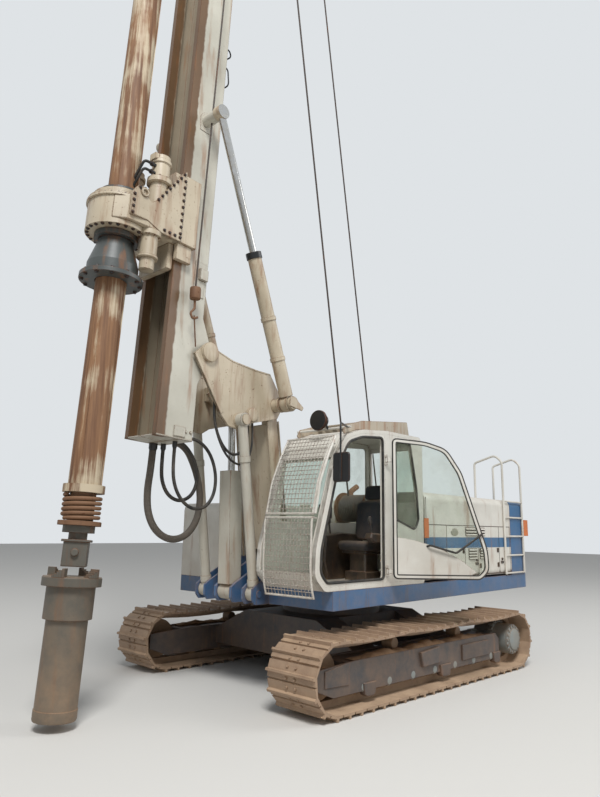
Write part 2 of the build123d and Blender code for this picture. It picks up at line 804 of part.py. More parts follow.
# Mast: a box open to the front, with two guide rails at its front corners
with BuildPart() as mast:
    block((mast_rear, mast_rear + mast_wall), (-mast_half_width, mast_half_width), (mast_bottom, mast_top))
    block((mast_front - 190, mast_front - 176), (-mast_half_width, mast_half_width), (mast_bottom, mast_top))
    for sign in (-1, 1):
        wall = tuple(sorted((sign * mast_half_width, sign * (mast_half_width - mast_wall))))
        rail = tuple(sorted((sign * mast_half_width, sign * (mast_half_width - rail_width))))
        block((mast_rear, mast_front), wall, (mast_bottom, mast_top))
        block((mast_front - 10, mast_front + rail_depth - 10), rail, (mast_bottom, mast_top))
        cheek = tuple(sorted((sign * mast_half_width, sign * (mast_half_width - 40))))
        plate(
            (
                (mast_rear + 5, mast_hinge[1] - 420),
                (mast_rear + 5, mast_hinge[1] + 420),
                (mast_hinge[0] - 60, mast_hinge[1] + 90),
                (mast_hinge[0] - 60, mast_hinge[1] - 90),
            ),
            cheek,
        )
        cross_bar(*mast_hinge, cheek, 110)
        cross_bar(*mast_hinge, tuple(sorted((sign * (mast_half_width - 40), sign * 380))), 60)
    block((mast_rear, mast_front - 176), (-mast_half_width, mast_half_width), (mast_bottom, mast_bottom + 20))
    for sign in (-1, 1):
        cross_bar(*luff_lug, tuple(sorted((sign * (mast_half_width - 10), sign * (luff_side - 51)))), 75)
mast.part.label = "mast"
export_step(lean(mast.part), "parts/mast.step")

# Mast head: side plates with the rope sheaves between them, and an outrigger for the second rope
sheaves = (
    ("front", kelly_x - sheave_radius, 0.0, sheave_radius),
    ("rear", kelly_x - 3.06 * sheave_radius, 0.0, sheave_radius),
    ("aux", 3078.0 - aux_sheave_radius, 420.0, aux_sheave_radius),
)
sheave_width = 70.0
axle_radius = 50.0
with BuildPart() as mast_head:
    for sign in (-1, 1):
        plate(
            (
                (mast_rear - 150, mast_top + 20),
                (mast_front + rail_depth, mast_top + 20),
                (3790.0, sheave_height - 130),
                (3790.0, sheave_height + 90),
                (3660.0, sheave_height + 420),
                (2950.0, sheave_height + 420),
                (2700.0, sheave_height + 60),
            ),
            tuple(sorted((sign * 60, sign * 84))),
        )
    block((mast_rear - 150, mast_front + rail_depth), (-mast_half_width, mast_half_width), (mast_top, mast_top + 30))
    for name, x, y, radius in sheaves:
        half = sheave_width / 2 + moving_gap + 18
        cross_bar(x, sheave_height, (y - half, y + half), axle_radius)
    aux_x = sheaves[2][1]
    for y in (350.0, 462.0):
        plate(
            (
                (aux_x - 140, mast_top),
                (aux_x + 140, mast_top),
                (aux_x + 70, sheave_height + 70),
                (aux_x - 70, sheave_height + 70),
            ),
            (y, y + 22),
        )
    block((aux_x - 140, aux_x + 140), (mast_half_width - 1, 484), (mast_top, mast_top + 30))
mast_head.part.label = "mast_head"
export_step(lean(mast_head.part), "parts/mast_head.step")

for name, x, y, radius in sheaves:
    with BuildPart() as sheave:
        cross_bar(x, sheave_height, (y - sheave_width / 2, y + sheave_width / 2), radius)
        cross_bar(
            x, sheave_height, (y - sheave_width / 2 - 1, y + sheave_width / 2 + 1), axle_radius + pin_clearance,
            mode=Mode.SUBTRACT,
        )
    sheave.part.label = f"sheave_{name}"
    export_step(lean(sheave.part), f"parts/sheave_{name}.step")

# Crowd cylinder barrel, held to the mast's web between the rails
with BuildPart() as crowd_barrel:
    with Locations((crowd_x, crowd_y, crowd_barrel_bottom)):
        Cylinder(crowd_barrel_radius, crowd_barrel_top - crowd_barrel_bottom, align=(Align.CENTER, Align.CENTER, Align.MIN))
    for z in (crowd_barrel_bottom + 30, crowd_barrel_top - 150):
        block((mast_front - 176 + seat_gap, crowd_x), (crowd_y - 50, crowd_y + 50), (z, z + 120))
    with Locations((crowd_x, crowd_y, crowd_barrel_bottom - 1)):
        Cylinder(
            crowd_rod_radius + 1,
            crowd_barrel_top - crowd_barrel_bottom - 49,
            align=(Align.CENTER, Align.CENTER, Align.MIN),
            mode=Mode.SUBTRACT,
        )
crowd_barrel.part.label = "crowd_barrel"
export_step(lean(crowd_barrel.part), "parts/crowd_barrel.step")


# Rotary head: a carriage on the mast's rails, the gearbox and its hydraulic motors
def ring(z_range, outer, inner, x=kelly_x, y=0.0, mode=Mode.ADD):
    """A round collar about a line that runs up the mast."""
    with Locations((x, y, z_range[0])):
        Cylinder(outer, z_range[1] - z_range[0], align=(Align.CENTER, Align.CENTER, Align.MIN), mode=mode)
        if inner:
            Cylinder(
                inner, z_range[1] - z_range[0], align=(Align.CENTER, Align.CENTER, Align.MIN), mode=Mode.SUBTRACT
            )


carriage_face = mast_front + rail_depth - 10 + moving_gap
sleeve_radius = 200.0
with BuildPart() as rotary_head:
    block(
        (carriage_face, kelly_x - 60),
        (-gearbox_half_width, gearbox_half_width),
        (gearbox_bottom, gearbox_top),
    )
    ring((head_bottom, head_top), head_radius, 0)
    ring((head_top - 1, gearbox_top), head_radius - 40, 0)
    block((carriage_face, carriage_face + carriage_plate), (-280, 280), (gearbox_bottom - 300, carriage_top))
    for sign in (-1, 1):
        side = tuple(sorted((sign * (mast_half_width + moving_gap), sign * gearbox_half_width)))
        block((mast_rear + 305, carriage_face + carriage_plate), side, (gearbox_bottom, gearbox_top))
    block(
        (crowd_x - 55, carriage_face + 1),
        (crowd_y - 55, crowd_y + 55),
        (carriage_top - 160, carriage_top - 20),
    )
    ring((carriage_top - 150, crowd_rod_top), crowd_rod_radius, 0, x=crowd_x, y=crowd_y)
    for x, y, low, high, radius in (
        (3750.0, 330.0, gearbox_top - 1, gearbox_top + 170, 120.0),
        (3750.0, 330.0, gearbox_top + 160, 6150.0, 95.0),
        (3750.0, -330.0, gearbox_top - 1, gearbox_top + 170, 120.0),
        (3750.0, -330.0, gearbox_top + 160, 6150.0, 95.0),
        (3560.0, 330.0, 4640.0, gearbox_bottom + 1, 95.0),
    ):
        ring((low, high), radius, 0, x=x, y=y)
    ring((head_bottom - 1, gearbox_top + 1), sleeve_radius + pin_clearance, 0, mode=Mode.SUBTRACT)
rotary_head.part.label = "rotary_head"
export_step(lean(rotary_head.part), "parts/rotary_head.step")

# Drive sleeve: the turning cone and flange that hangs below the head round the kelly
sleeve_bore = rib_radius + 0.8
cone_top = head_bottom - 67
with BuildPart() as drive_sleeve:
    ring((cone_top, gearbox_top + 60), sleeve_radius, 0)
    ring((cone_top, head_bottom - moving_gap), 245, 0)
    ring((gearbox_top + moving_gap, gearbox_top + 60), 250, 0)
    with Locations((kelly_x, 0, cone_bottom)):
        Cone(
            cone_bottom_radius, cone_top_radius, cone_top - cone_bottom,
            align=(Align.CENTER, Align.CENTER, Align.MIN),
        )
    ring((sleeve_flange_bottom, cone_bottom), cone_bottom_radius, 0)
    ring((sleeve_flange_bottom, sleeve_flange_bottom + sleeve_flange_thickness), sleeve_flange_radius, 0)
    ring((sleeve_flange_bottom - 1, gearbox_top + 61), sleeve_bore, 0, mode=Mode.SUBTRACT)
    with Locations((kelly_x, 0, sleeve_flange_bottom - 1)):
        with PolarLocations(flange_bolt_circle / 2, flange_bolt_count):
            Cylinder(
                flange_bolt_radius, sleeve_flange_thickness + 2,
                align=(Align.CENTER, Align.CENTER, Align.MIN), mode=Mode.SUBTRACT,
            )
drive_sleeve.part.label = "drive_sleeve"
export_step(lean(drive_sleeve.part), "parts/drive_sleeve.step")

# Kelly: ribbed telescopic bar with its spring and the drilling tool
collar_top = kelly_bottom
rib_face = math.sqrt(rib_radius**2 - (rib_width / 2) ** 2)
rib_depth = rib_face - kelly_radius + 8
with BuildPart() as kelly_tube:
    ring((collar_top, kelly_top), kelly_radius, kelly_radius - kelly_wall)
    with BuildSketch(Plane.XY.offset(collar_top)):
        with Locations((kelly_x, 0)):
            with PolarLocations(rib_face - rib_depth / 2, 3, start_angle=30):
                Rectangle(rib_depth, rib_width)
    extrude(amount=kelly_top - collar_top)
    ring((kelly_top - 1, kelly_top + 40), kelly_radius, 0)
    ring((kelly_top + 30, kelly_top + 120), 120, 0)
    ring((kelly_top + 110, kelly_top + 420), 60, 0)
    ring((collar_top - 70, collar_top + 10), 210, 0)
kelly_tube.part.label = "kelly_tube"
export_step(lean(kelly_tube.part), "parts/kelly_tube.step")

spring_top = collar_top - 70.0
spring_bottom = 1884.0
wire_radius = 24.0
with BuildPart() as kelly_spring:
    ring((spring_bottom - 45, spring_bottom), 215, 0)
    ring((spring_bottom - 1, spring_top), 130, 0)
kelly_spring.part.label = "kelly_spring"
export_step(lean(kelly_spring.part), "parts/kelly_spring.step")

with BuildPart() as kelly_tool:
    ring((1701.0, spring_bottom - 45 - seat_gap), 90, 0)
    block((kelly_x - 110, kelly_x + 110), (-110, 110), (bucket_top, 1701.0))
    cross_bar(kelly_x, 1570.0, (-170, 170), 38)
    ring((bucket_head_bottom, bucket_top), bucket_head_radius, 0)
    ring((bucket_bottom, bucket_head_bottom), bucket_radius, 0)
    ring((tool_bottom, bucket_bottom), auger_radius, 0)
kelly_tool.part.label = "kelly_tool"
export_step(lean(kelly_tool.part), "parts/kelly_tool.step")

# Luffing cylinders: barrels on the bracket, rods to the mast's cross tube
hinge_rake = math.radians(mast_rake)
lug_dx, lug_dz = luff_lug[0] - mast_hinge[0], luff_lug[1] - mast_hinge[1]
luff_head = (
    mast_hinge[0] + lug_dx * math.cos(hinge_rake) - lug_dz * math.sin(hinge_rake),
    mast_hinge[1] + lug_dz * math.cos(hinge_rake) + lug_dx * math.sin(hinge_rake),
)
luff_length = math.dist(luff_foot, luff_head)
luff_bore_start = 126.0
luff_rod_start = 1772.0
with BuildPart() as luff_barrels:
    for sign in (-1, 1):
        eye = tuple(sorted((sign * (luff_side - 55), sign * (luff_side + 55))))
        rod(luff_foot, luff_head, 98, luff_barrel_length, sign * luff_side, luff_barrel_radius)
        cross_bar(*luff_foot, eye, 105)
        rod(
            luff_foot, luff_head, luff_bore_start, luff_barrel_length + 1, sign * luff_side, luff_rod_radius + 1,
            mode=Mode.SUBTRACT,
        )
        cross_bar(*luff_foot, (eye[0] - 40, eye[1] + 40), 60 + pin_clearance, mode=Mode.SUBTRACT)
luff_barrels.part.label = "luff_barrels"
export_step(luff_barrels.part, "parts/luff_barrels.step")

with BuildPart() as luff_rods:
    for sign in (-1, 1):
        eye = tuple(sorted((sign * (luff_side - 51 + slip_gap), sign * (luff_side + 55))))
        rod(luff_foot, luff_head, luff_rod_start, luff_length - 50, sign * luff_side, luff_rod_radius)
        cross_bar(*luff_head, eye, 88)
luff_rods.part.label = "luff_rods"
export_step(luff_rods.part, "parts/luff_rods.step")
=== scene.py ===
"""Looks of a rotary piling rig on tracks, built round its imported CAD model.

Metres, in the part's frame: X points forward, Y to the cab's side, Z up, with the origin on the slewing
axis at ground level. The mast's pieces are laid out upright and then leaned back about the mast's hinge.
"""
import math

import bpy
import numpy as np
from mathutils import Matrix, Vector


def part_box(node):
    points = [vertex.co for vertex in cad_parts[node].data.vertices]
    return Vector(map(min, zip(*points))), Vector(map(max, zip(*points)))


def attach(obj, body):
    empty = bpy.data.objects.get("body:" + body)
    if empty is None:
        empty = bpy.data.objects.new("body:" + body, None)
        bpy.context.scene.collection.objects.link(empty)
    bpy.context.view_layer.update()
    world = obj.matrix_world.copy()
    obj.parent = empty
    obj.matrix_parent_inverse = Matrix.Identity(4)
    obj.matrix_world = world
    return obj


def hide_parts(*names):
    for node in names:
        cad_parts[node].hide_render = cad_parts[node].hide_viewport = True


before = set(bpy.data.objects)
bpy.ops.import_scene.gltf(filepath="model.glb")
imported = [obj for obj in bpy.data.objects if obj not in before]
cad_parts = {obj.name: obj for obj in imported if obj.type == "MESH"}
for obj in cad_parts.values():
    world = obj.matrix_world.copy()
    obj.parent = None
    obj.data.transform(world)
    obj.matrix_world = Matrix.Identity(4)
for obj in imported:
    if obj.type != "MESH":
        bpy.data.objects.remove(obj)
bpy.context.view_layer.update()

# Camera: held at eye height in front of the left track, looking back and up past the mast.
# Its place, its angles and its focal length in pixels were solved from points measured on the photograph.
photo_size = (600, 797)
focal_pixels = 645.809
camera_place = (7.571, 6.145, 1.905)
yaw, pitch, roll = (math.radians(angle) for angle in (222.012, 11.446, 0.982))
ahead = np.array([math.cos(yaw) * math.cos(pitch), math.sin(yaw) * math.cos(pitch), math.sin(pitch)])
level = np.array([math.sin(yaw), -math.cos(yaw), 0.0])
above = np.cross(level, ahead)
right = level * math.cos(roll) + above * math.sin(roll)
up = above * math.cos(roll) - level * math.sin(roll)
camera_data = bpy.data.cameras.new("camera")
camera_data.sensor_fit = "VERTICAL"
camera_data.sensor_height = 24.0
camera_data.lens = focal_pixels / photo_size[1] * camera_data.sensor_height
camera_data.clip_end = 400.0
camera = bpy.data.objects.new("camera", camera_data)
turn = np.eye(4)
turn[:3, :3] = np.column_stack([right, up, -ahead])
turn[:3, 3] = camera_place
camera.matrix_world = Matrix(turn.tolist())
bpy.context.collection.objects.link(camera)
bpy.context.scene.camera = camera


# Floor and backdrop: a pale sheet of studio floor that runs out to a pale world.
# It is matt, so it keeps only the machine's soft shadow.
def linear(code):
    """The linear RGBA of an sRGB hex colour: low channels are divided by 12.92, and the rest follow the
    2.4 power of their offset value."""
    channel = np.array([int(code[start:start + 2], 16) for start in (1, 3, 5)]) / 255
    low, high = channel / 12.92, ((channel + 0.055) / 1.055) ** 2.4
    return (*np.where(channel <= 0.04045, low, high), 1.0)


def add(tree, kind, inputs=None, **settings):
    """A shader node with its settings. Each input gets a number, a colour, another node's output, or a node
    for its first output; a MapRange turns what lies from input 1 to 2 into what lies from 3 to 4."""
    made = tree.nodes.new("ShaderNode" + kind)
    for name, value in settings.items():
        setattr(made, name, value)
    for name, value in (inputs or {}).items():
        if isinstance(value, bpy.types.Node):
            value = value.outputs[0]
        if isinstance(value, bpy.types.NodeSocket):
            tree.links.new(value, made.inputs[name])
        else:
            made.inputs[name].default_value = value
    return made


def blank(name):
    """A new material with an empty node tree, and that tree."""
    material = bpy.data.materials.new(name)
    material.use_nodes = True
    material.node_tree.nodes.clear()
    return material, material.node_tree


def build(name, shells, material, body=None, replaces=(), smooth=32.0):
    """One object from skins (points, faces), smooth where faces meet at less than an angle in degrees."""
    points, faces, start = [], [], 0
    for some_points, some_faces in shells:
        points.append(np.asarray(some_points, float))
        faces += [[corner + start for corner in face] for face in some_faces]
        start += len(some_points)
    mesh = bpy.data.meshes.new(name)
    mesh.from_pydata(np.concatenate(points).tolist(), [], faces)
    mesh.materials.append(material)
    mesh.shade_smooth()
    mesh.set_sharp_from_angle(angle=math.radians(smooth))
    made = bpy.data.objects.new(name, mesh)
    bpy.context.collection.objects.link(made)
    if body:
        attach(made, body)
    if replaces:
        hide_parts(*replaces)
    return made


floor_material, tree = blank("matt_studio_floor")
shade = add(tree, "BsdfPrincipled", {"Base Color": linear("#d3d1cc"), "Roughness": 0.9})
add(tree, "OutputMaterial", {"Surface": shade})
reach = 60.0
sheet_corners = np.array([(-reach, -reach, 0), (reach, -reach, 0), (reach, reach, 0), (-reach, reach, 0)])
build("floor", [(sheet_corners, [(0, 1, 2, 3)])], floor_material)

# Light: a bright overcast sky, with a large soft lamp from the front left and a weaker one from the rear
# left. The sky lights the object at a plain level and shows pale grey behind it.
world = bpy.data.worlds.new("overcast_sky")
world.use_nodes = True
tree = world.node_tree
tree.nodes.clear()
sky = add(tree, "Background", {"Color": linear("#e9edf2"), "Strength": 0.42})
backdrop = add(tree, "Background", {"Color": linear("#dfe3e6"), "Strength": 1.0})
ray = add(tree, "LightPath").outputs
seen = add(tree, "Math", {0: ray["Is Camera Ray"], 1: ray["Is Glossy Ray"]}, operation="MAXIMUM")
through = add(tree, "Math", {0: seen, 1: ray["Is Transmission Ray"]}, operation="MAXIMUM")
shown = add(tree, "MixShader", {0: through, 1: sky, 2: backdrop})
add(tree, "OutputWorld", {"Surface": shown})
bpy.context.scene.world = world
bpy.context.scene.view_settings.view_transform = "Standard"
lamp_aim = (0.0, 0.0, 3.0)
for name, place, energy, size in (
    ("key_lamp", (13.0, 12.0, 22.0), 5600.0, 7.0),
    ("fill_lamp", (-12.0, 14.0, 12.0), 1100.0, 9.0),
):
    lamp_data = bpy.data.lights.new(name, "AREA")
    lamp_data.energy = energy
    lamp_data.size = size
    lamp = bpy.data.objects.new(name, lamp_data)
    back = np.array(place) - lamp_aim
    back /= np.linalg.norm(back)
    side = np.cross((0, 0, 1), back)
    side /= np.linalg.norm(side)
    turn = np.eye(4)
    turn[:3, :3] = np.column_stack([side, np.cross(back, side), back])
    turn[:3, 3] = place
    lamp.matrix_world = Matrix(turn.tolist())
    bpy.context.collection.objects.link(lamp)


# Painted steel: two-pack enamel on welded plate, chalked by the sun, with chips at its edges,
# rust that runs down it, and site dust that settles low on the machine. Its corners get painted shade:
# the dust colour is laid into them by how occluded they are.
def painted_steel(name, colour, rust=0.35, dust=0.3, gloss=0.42, streak="#8a5a34", dust_colour="#a8896a",
                  settles=3.2, paint=None):
    """Enamel on steel: its colour drifts over about a metre, rust runs follow noise that is stretched about
    eight times along Z, chips follow edges, and dust fades out with height. In corners the dust colour is
    laid in by ambient occlusion, which makes it painted shade as well as dust."""
    material, tree = blank(name)
    place = add(tree, "TexCoord").outputs["Object"]
    geometry = add(tree, "NewGeometry")
    # Noise scales are cells in a metre: 1.1 is a drift of about 900 mm, 9 a rust run about 110 mm wide, 4.5 a
    # dust patch of about 220 mm, 26 a chip of about 38 mm, and 55 a peel of about 18 mm. Chips and peel are
    # drawn many times coarser than the real ones, so that they show.
    drift = add(tree, "TexNoise", {"Vector": place, "Scale": 1.1, "Detail": 5.0, "Roughness": 0.6})
    chalk = add(tree, "MapRange", {0: drift, 1: 0.35, 2: 0.7, 3: 0.0, 4: 0.34})
    plain = paint(tree, place) if paint else linear(colour)
    grey = linear("#8e8577")
    base = add(tree, "MixRGB", {"Fac": chalk, "Color1": plain, "Color2": grey}, blend_type="MULTIPLY")
    stretched = add(tree, "Mapping", {"Vector": place, "Scale": (9.0, 9.0, 1.1)})
    run = add(tree, "TexNoise", {"Vector": stretched, "Scale": 1.0, "Detail": 8.0, "Roughness": 0.62})
    runs = add(tree, "MapRange", {0: run, 1: 0.64 - 0.18 * rust, 2: 0.82 - 0.16 * rust, 3: 0.0, 4: 0.75})
    streaked = add(tree, "MixRGB", {"Fac": runs, "Color1": base, "Color2": linear(streak)})
    soft = add(tree, "Bevel", {"Radius": 0.010}, samples=4)
    across = add(tree, "VectorMath", {0: soft, 1: geometry.outputs["Normal"]}, operation="DOT_PRODUCT")
    edge = add(tree, "MapRange", {0: across.outputs["Value"], 1: 0.985, 2: 0.90, 3: 0.0, 4: 1.0})
    chip = add(tree, "TexNoise", {"Vector": place, "Scale": 26.0, "Detail": 6.0, "Roughness": 0.7})
    worn = add(tree, "Math", {0: edge, 1: chip}, operation="MULTIPLY")
    spots = add(tree, "MapRange", {0: chip, 1: 0.72 - 0.1 * rust, 2: 0.76 - 0.1 * rust, 3: 0.0, 4: 0.9})
    chips = add(tree, "MapRange", {0: worn, 1: 0.40 - 0.16 * rust, 2: 0.48 - 0.14 * rust, 3: 0.0, 4: 1.0})
    bare = add(tree, "Math", {0: chips, 1: spots}, operation="MAXIMUM", use_clamp=True)
    chipped = add(tree, "MixRGB", {"Fac": bare, "Color1": streaked, "Color2": linear("#5b3620")})
    height = add(tree, "SeparateXYZ", {0: place})
    settle = add(tree, "MapRange", {0: height.outputs[2], 1: settles, 2: 0.0, 3: 0.0, 4: 1.0})
    upward = add(tree, "SeparateXYZ", {0: geometry.outputs["Normal"]})
    shelf = add(tree, "MapRange", {0: upward.outputs[2], 1: 0.3, 2: 0.95, 3: 0.0, 4: 0.5})
    # Painted shade: ambient occlusion lays the dust colour into corners and recesses, where shade falls.
    corner = add(tree, "AmbientOcclusion", {"Distance": 0.16}, samples=4, only_local=False)
    painted_corner_shade = add(tree, "MapRange", {0: corner.outputs["AO"], 1: 0.75, 2: 0.15, 3: 0.0, 4: 0.55})
    low = add(tree, "Math", {0: settle, 1: shelf}, operation="ADD")
    lower = add(tree, "Math", {0: low, 1: painted_corner_shade}, operation="ADD")
    patch = add(tree, "TexNoise", {"Vector": place, "Scale": 4.5, "Detail": 8.0, "Roughness": 0.7})
    amount = add(tree, "Math", {0: lower, 1: patch}, operation="MULTIPLY")
    dust_and_corner_shade = add(tree, "MapRange", {0: amount, 1: 0.15, 2: 0.9, 3: 0.0, 4: min(1.0, dust * 2.2)})
    final = add(tree, "MixRGB", {"Fac": dust_and_corner_shade, "Color1": chipped, "Color2": linear(dust_colour)})
    rough = add(tree, "MapRange", {0: bare, 1: 0.0, 2: 1.0, 3: gloss, 4: 0.9})
    rougher = add(tree, "Math", {0: rough, 1: dust_and_corner_shade}, operation="MAXIMUM")
    peel = add(tree, "TexNoise", {"Vector": place, "Scale": 55.0, "Detail": 3.0})
    relief = add(tree, "Math", {0: peel, 1: bare}, operation="SUBTRACT")
    bump = add(tree, "Bump", {"Height": relief, "Strength": 0.3, "Distance": 0.002, "Normal": soft})
    shade = add(tree, "BsdfPrincipled", {
        "Base Color": final, "Roughness": rougher, "Normal": bump, "IOR": 1.5})
    add(tree, "OutputMaterial", {"Surface": shade})
    return material


def dress(material, *names):
    """Gives CAD nodes their real finish."""
    for name in names:
        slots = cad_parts[name].data.materials
        slots.clear()
        slots.append(material)


# Tracks: cast steel shoes, each held to the chain by four bolts; those that the ground hides are left out.
# The undercarriage stands turned by the slewing joint's rest angle, so what is laid out along X is turned
# with it. Cast steel looks dull and brown here, under pale dust.
stand_turn = math.radians(-3.15)
wheel_base = 3.874
track_height = 0.804
track_middle = 1.534
grouser_height = 0.034
shoe_over_path = 0.022
path_radius = track_height / 2 - grouser_height - shoe_over_path
loop_length = 2 * (wheel_base + math.pi * path_radius)
usual_pitch = 0.190
shoe_count = round(loop_length / usual_pitch)
shoe_pitch = loop_length / shoe_count
chain_sag = 0.026
spans_between_rollers = 3


def skin(rings, loop=False):
    """A closed skin: neighbouring rings are joined by quads, and the end rings are closed by flat caps or
    joined to each other. Where the sum of its signed pyramids' volumes is negative, its faces are turned."""
    rings = np.asarray(rings, float)
    count, sides, _ = rings.shape
    points = rings.reshape(-1, 3)
    middle = points.mean(axis=0)
    row = np.arange(count if loop else count - 1)[:, None]
    column = np.arange(sides)[None, :]
    start, after = row * sides, (row + 1) % count * sides
    beside = (column + 1) % sides
    quads = np.stack([start + column, start + beside, after + beside, after + column], -1).reshape(-1, 4)
    a, b, c, d = (points[quads[:, corner]] - middle for corner in range(4))
    volume = np.sum(a * np.cross(b, c)) + np.sum(a * np.cross(c, d))
    faces = quads.tolist()
    if not loop:
        for ring, sign in ((rings[0] - middle, -1), (rings[-1] - middle, 1)):
            volume += sign * np.sum(ring.mean(axis=0) * np.cross(ring, np.roll(ring, -1, axis=0)))
        last = (count - 1) * sides
        faces += [list(range(sides))[::-1], list(range(last, last + sides))]
    if volume < 0:
        faces = [face[::-1] for face in faces]
    return points, faces


def facing(direction):
    """A rotation whose third axis is a direction and whose other two are cross products across it."""
    third = np.asarray(direction, float) / np.linalg.norm(direction)
    helper = (1.0, 0.0, 0.0) if abs(third[0]) < 0.9 else (0.0, 1.0, 0.0)
    first = np.cross(helper, third)
    first /= np.linalg.norm(first)
    return np.column_stack([first, np.cross(third, first), third])


def turned(profile, foot, axis, sides=32, loop=False):
    """A turned piece: a profile of (radius, height) carried round an axis that starts at its foot."""
    profile = np.asarray(profile, float)
    angle = np.linspace(0, 2 * np.pi, sides, endpoint=False)
    radius, height = profile[:, :1], profile[:, 1:]
    local = np.stack([radius * np.cos(angle), radius * np.sin(angle), height + 0 * angle], axis=-1)
    return skin(local @ facing(axis).T + np.asarray(foot, float), loop)


def bolts(places, axis, across=0.030, height=0.018):
    """Hexagon heads on washers: one head of two turned profiles, copied to every place as whole arrays."""
    disc = ((across * 0.75, 0.0), (across * 0.75, 0.004), (across * 0.70, 0.005))
    hexagon = ((across * 0.577, 0.004), (across * 0.577, height * 0.85), (across * 0.48, height))
    places = np.asarray(places, float).reshape(-1, 3)
    made = []
    for line, sides in ((disc, 12), (hexagon, 6)):
        points, faces = turned(line, (0, 0, 0), axis, sides)
        every = (points[None] + places[:, None]).reshape(-1, 3)
        made.append((every, [[corner + index * len(points) for corner in face]
                             for index in range(len(places)) for face in faces]))
    return made


def stood(shell):
    """A skin turned with the undercarriage about the slewing axis."""
    points, faces = shell
    cosine, sine = math.cos(stand_turn), math.sin(stand_turn)
    spin = np.array([(cosine, -sine, 0), (sine, cosine, 0), (0, 0, 1)])
    return points @ spin.T, faces


def loop_places(distance, lift):
    """Points of the track's loop and their outward normals, at distances round it and a height over its path:
    two straight runs and two half circles, and on top a parabola of sag in each span between rollers."""
    arc = math.pi * path_radius
    distance = np.asarray(distance) % loop_length
    rear = np.pi / 2 + (distance - wheel_base) / path_radius
    front = -np.pi / 2 + (distance - 2 * wheel_base - arc) / path_radius
    on_top = distance < wheel_base
    on_rear = (distance >= wheel_base) & (distance < wheel_base + arc)
    on_floor = (distance >= wheel_base + arc) & (distance < 2 * wheel_base + arc)
    angle = np.select([on_top, on_rear, on_floor], [np.pi / 2, rear, -np.pi / 2], front)
    span = spans_between_rollers * distance / wheel_base % 1
    sag = np.where(on_top, 4 * chain_sag * span * (1 - span), 0.0)
    middle = np.select(
        [on_top, on_rear, on_floor],
        [wheel_base / 2 - distance, -wheel_base / 2, distance - 1.5 * wheel_base - arc], wheel_base / 2)
    radius = path_radius + lift
    normal = np.column_stack([np.cos(angle), 0 * angle, np.sin(angle)])
    place = np.column_stack([middle, 0 * angle, track_height / 2 - sag]) + radius * normal
    return place, normal


cast_shoe = painted_steel("cast_track_steel", "#8d7460", rust=0.45, dust=0.6, gloss=0.6, streak="#5a4234",
                          dust_colour="#b79c80")
dress(cast_shoe, "track_left", "track_right")
bolt_half_gauge, bolt_lift, lowest_bolt = 0.062, 0.021, 0.03
shoe_bolts = []
for side in (1, -1):
    for share in (0.165, 0.72):
        place, normal = loop_places((np.arange(shoe_count) + share) * shoe_pitch, bolt_lift)
        for offset in (-bolt_half_gauge, bolt_half_gauge):
            for here, outward in zip(place, normal):
                if here[2] > lowest_bolt:
                    spot = here + (0, side * track_middle + offset, 0)
                    shoe_bolts += [stood(shell) for shell in bolts(spot, outward, 0.026, 0.014)]
build("shoe_bolts", shoe_bolts, cast_shoe, "undercarriage")

# Undercarriage steel: welded side frames, cast rollers and drive hubs, under dust and dried mud.
# The hub's cover is a pressed disc held by a ring of screws. The frames' enamel is a cool dark grey, the
# rollers are bare rusty castings, and the hubs wear a lighter blue grey.
dark_enamel = painted_steel("dark_grey_enamel", "#2f3a42", rust=0.3, dust=0.36, gloss=0.5,
                            dust_colour="#8d7058")
dress(dark_enamel, "track_frame_left", "track_frame_right", "carbody", "slew_ring")
cast_roller = painted_steel("cast_roller_steel", "#7d6753", rust=0.5, dust=0.5, gloss=0.6, streak="#5a4130")
dress(cast_roller, "rollers_left", "rollers_right")
hub_enamel = painted_steel("blue_grey_enamel", "#7f8c8e", rust=0.3, dust=0.4, dust_colour="#93816c")
dress(hub_enamel, "final_drive_left", "final_drive_right")
hub_face = 0.25


def inset(outline, depth):
    """An outline moved inward by a depth: each point moves along the mitre of its two edges."""
    outline = np.asarray(outline, float)
    after = np.roll(outline, -1, axis=0)
    along = after - outline
    area = np.sum(outline[:, 0] * after[:, 1] - after[:, 0] * outline[:, 1])
    normal = np.column_stack([-along[:, 1], along[:, 0]]) * np.sign(area)
    normal /= np.linalg.norm(normal, axis=1, keepdims=True)
    before = np.roll(normal, 1, axis=0)
    sharpest = 0.35
    mitre = np.maximum(1.0 + np.sum(normal * before, axis=1, keepdims=True), sharpest)
    return outline + depth * (normal + before) / mitre


def laid(flat, place, across):
    """Flat points set into space at a place on the axis across them."""
    first, second = np.asarray(flat, float).T
    filled = np.full(len(first), place)
    order = {"x": (filled, first, second), "y": (first, filled, second), "z": (first, second, filled)}
    return np.column_stack(order[across])


def slab(outline, low, high, across="y", bevel=0.003):
    """A plate cut to an outline, from one place to another across it: four rings, the outer two moved inward
    by the bevel that breaks its edges."""
    low, high = min(low, high), max(low, high)
    inner = inset(outline, bevel)
    return skin([laid(inner, low, across), laid(outline, low + bevel, across),
                 laid(outline, high - bevel, across), laid(inner, high, across)])


def box(low, high, bevel=0.003):
    """A flat bar or plate with broken edges, between two corners of its box."""
    (x0, y0, z0), (x1, y1, z1) = np.minimum(low, high), np.maximum(low, high)
    return slab(((x0, z0), (x1, z0), (x1, z1), (x0, z1)), y0, y1, "y", bevel)


def screws(foot, axis, circle, number, across=0.026, height=0.016):
    """A ring of screws round a foot: their places are equal steps of angle on the circle's radius."""
    angle = np.linspace(0, 2 * np.pi, number, endpoint=False)
    ring = np.column_stack([circle * np.cos(angle), circle * np.sin(angle), 0 * angle])
    return bolts(ring @ facing(axis).T + np.asarray(foot, float), axis, across, height)


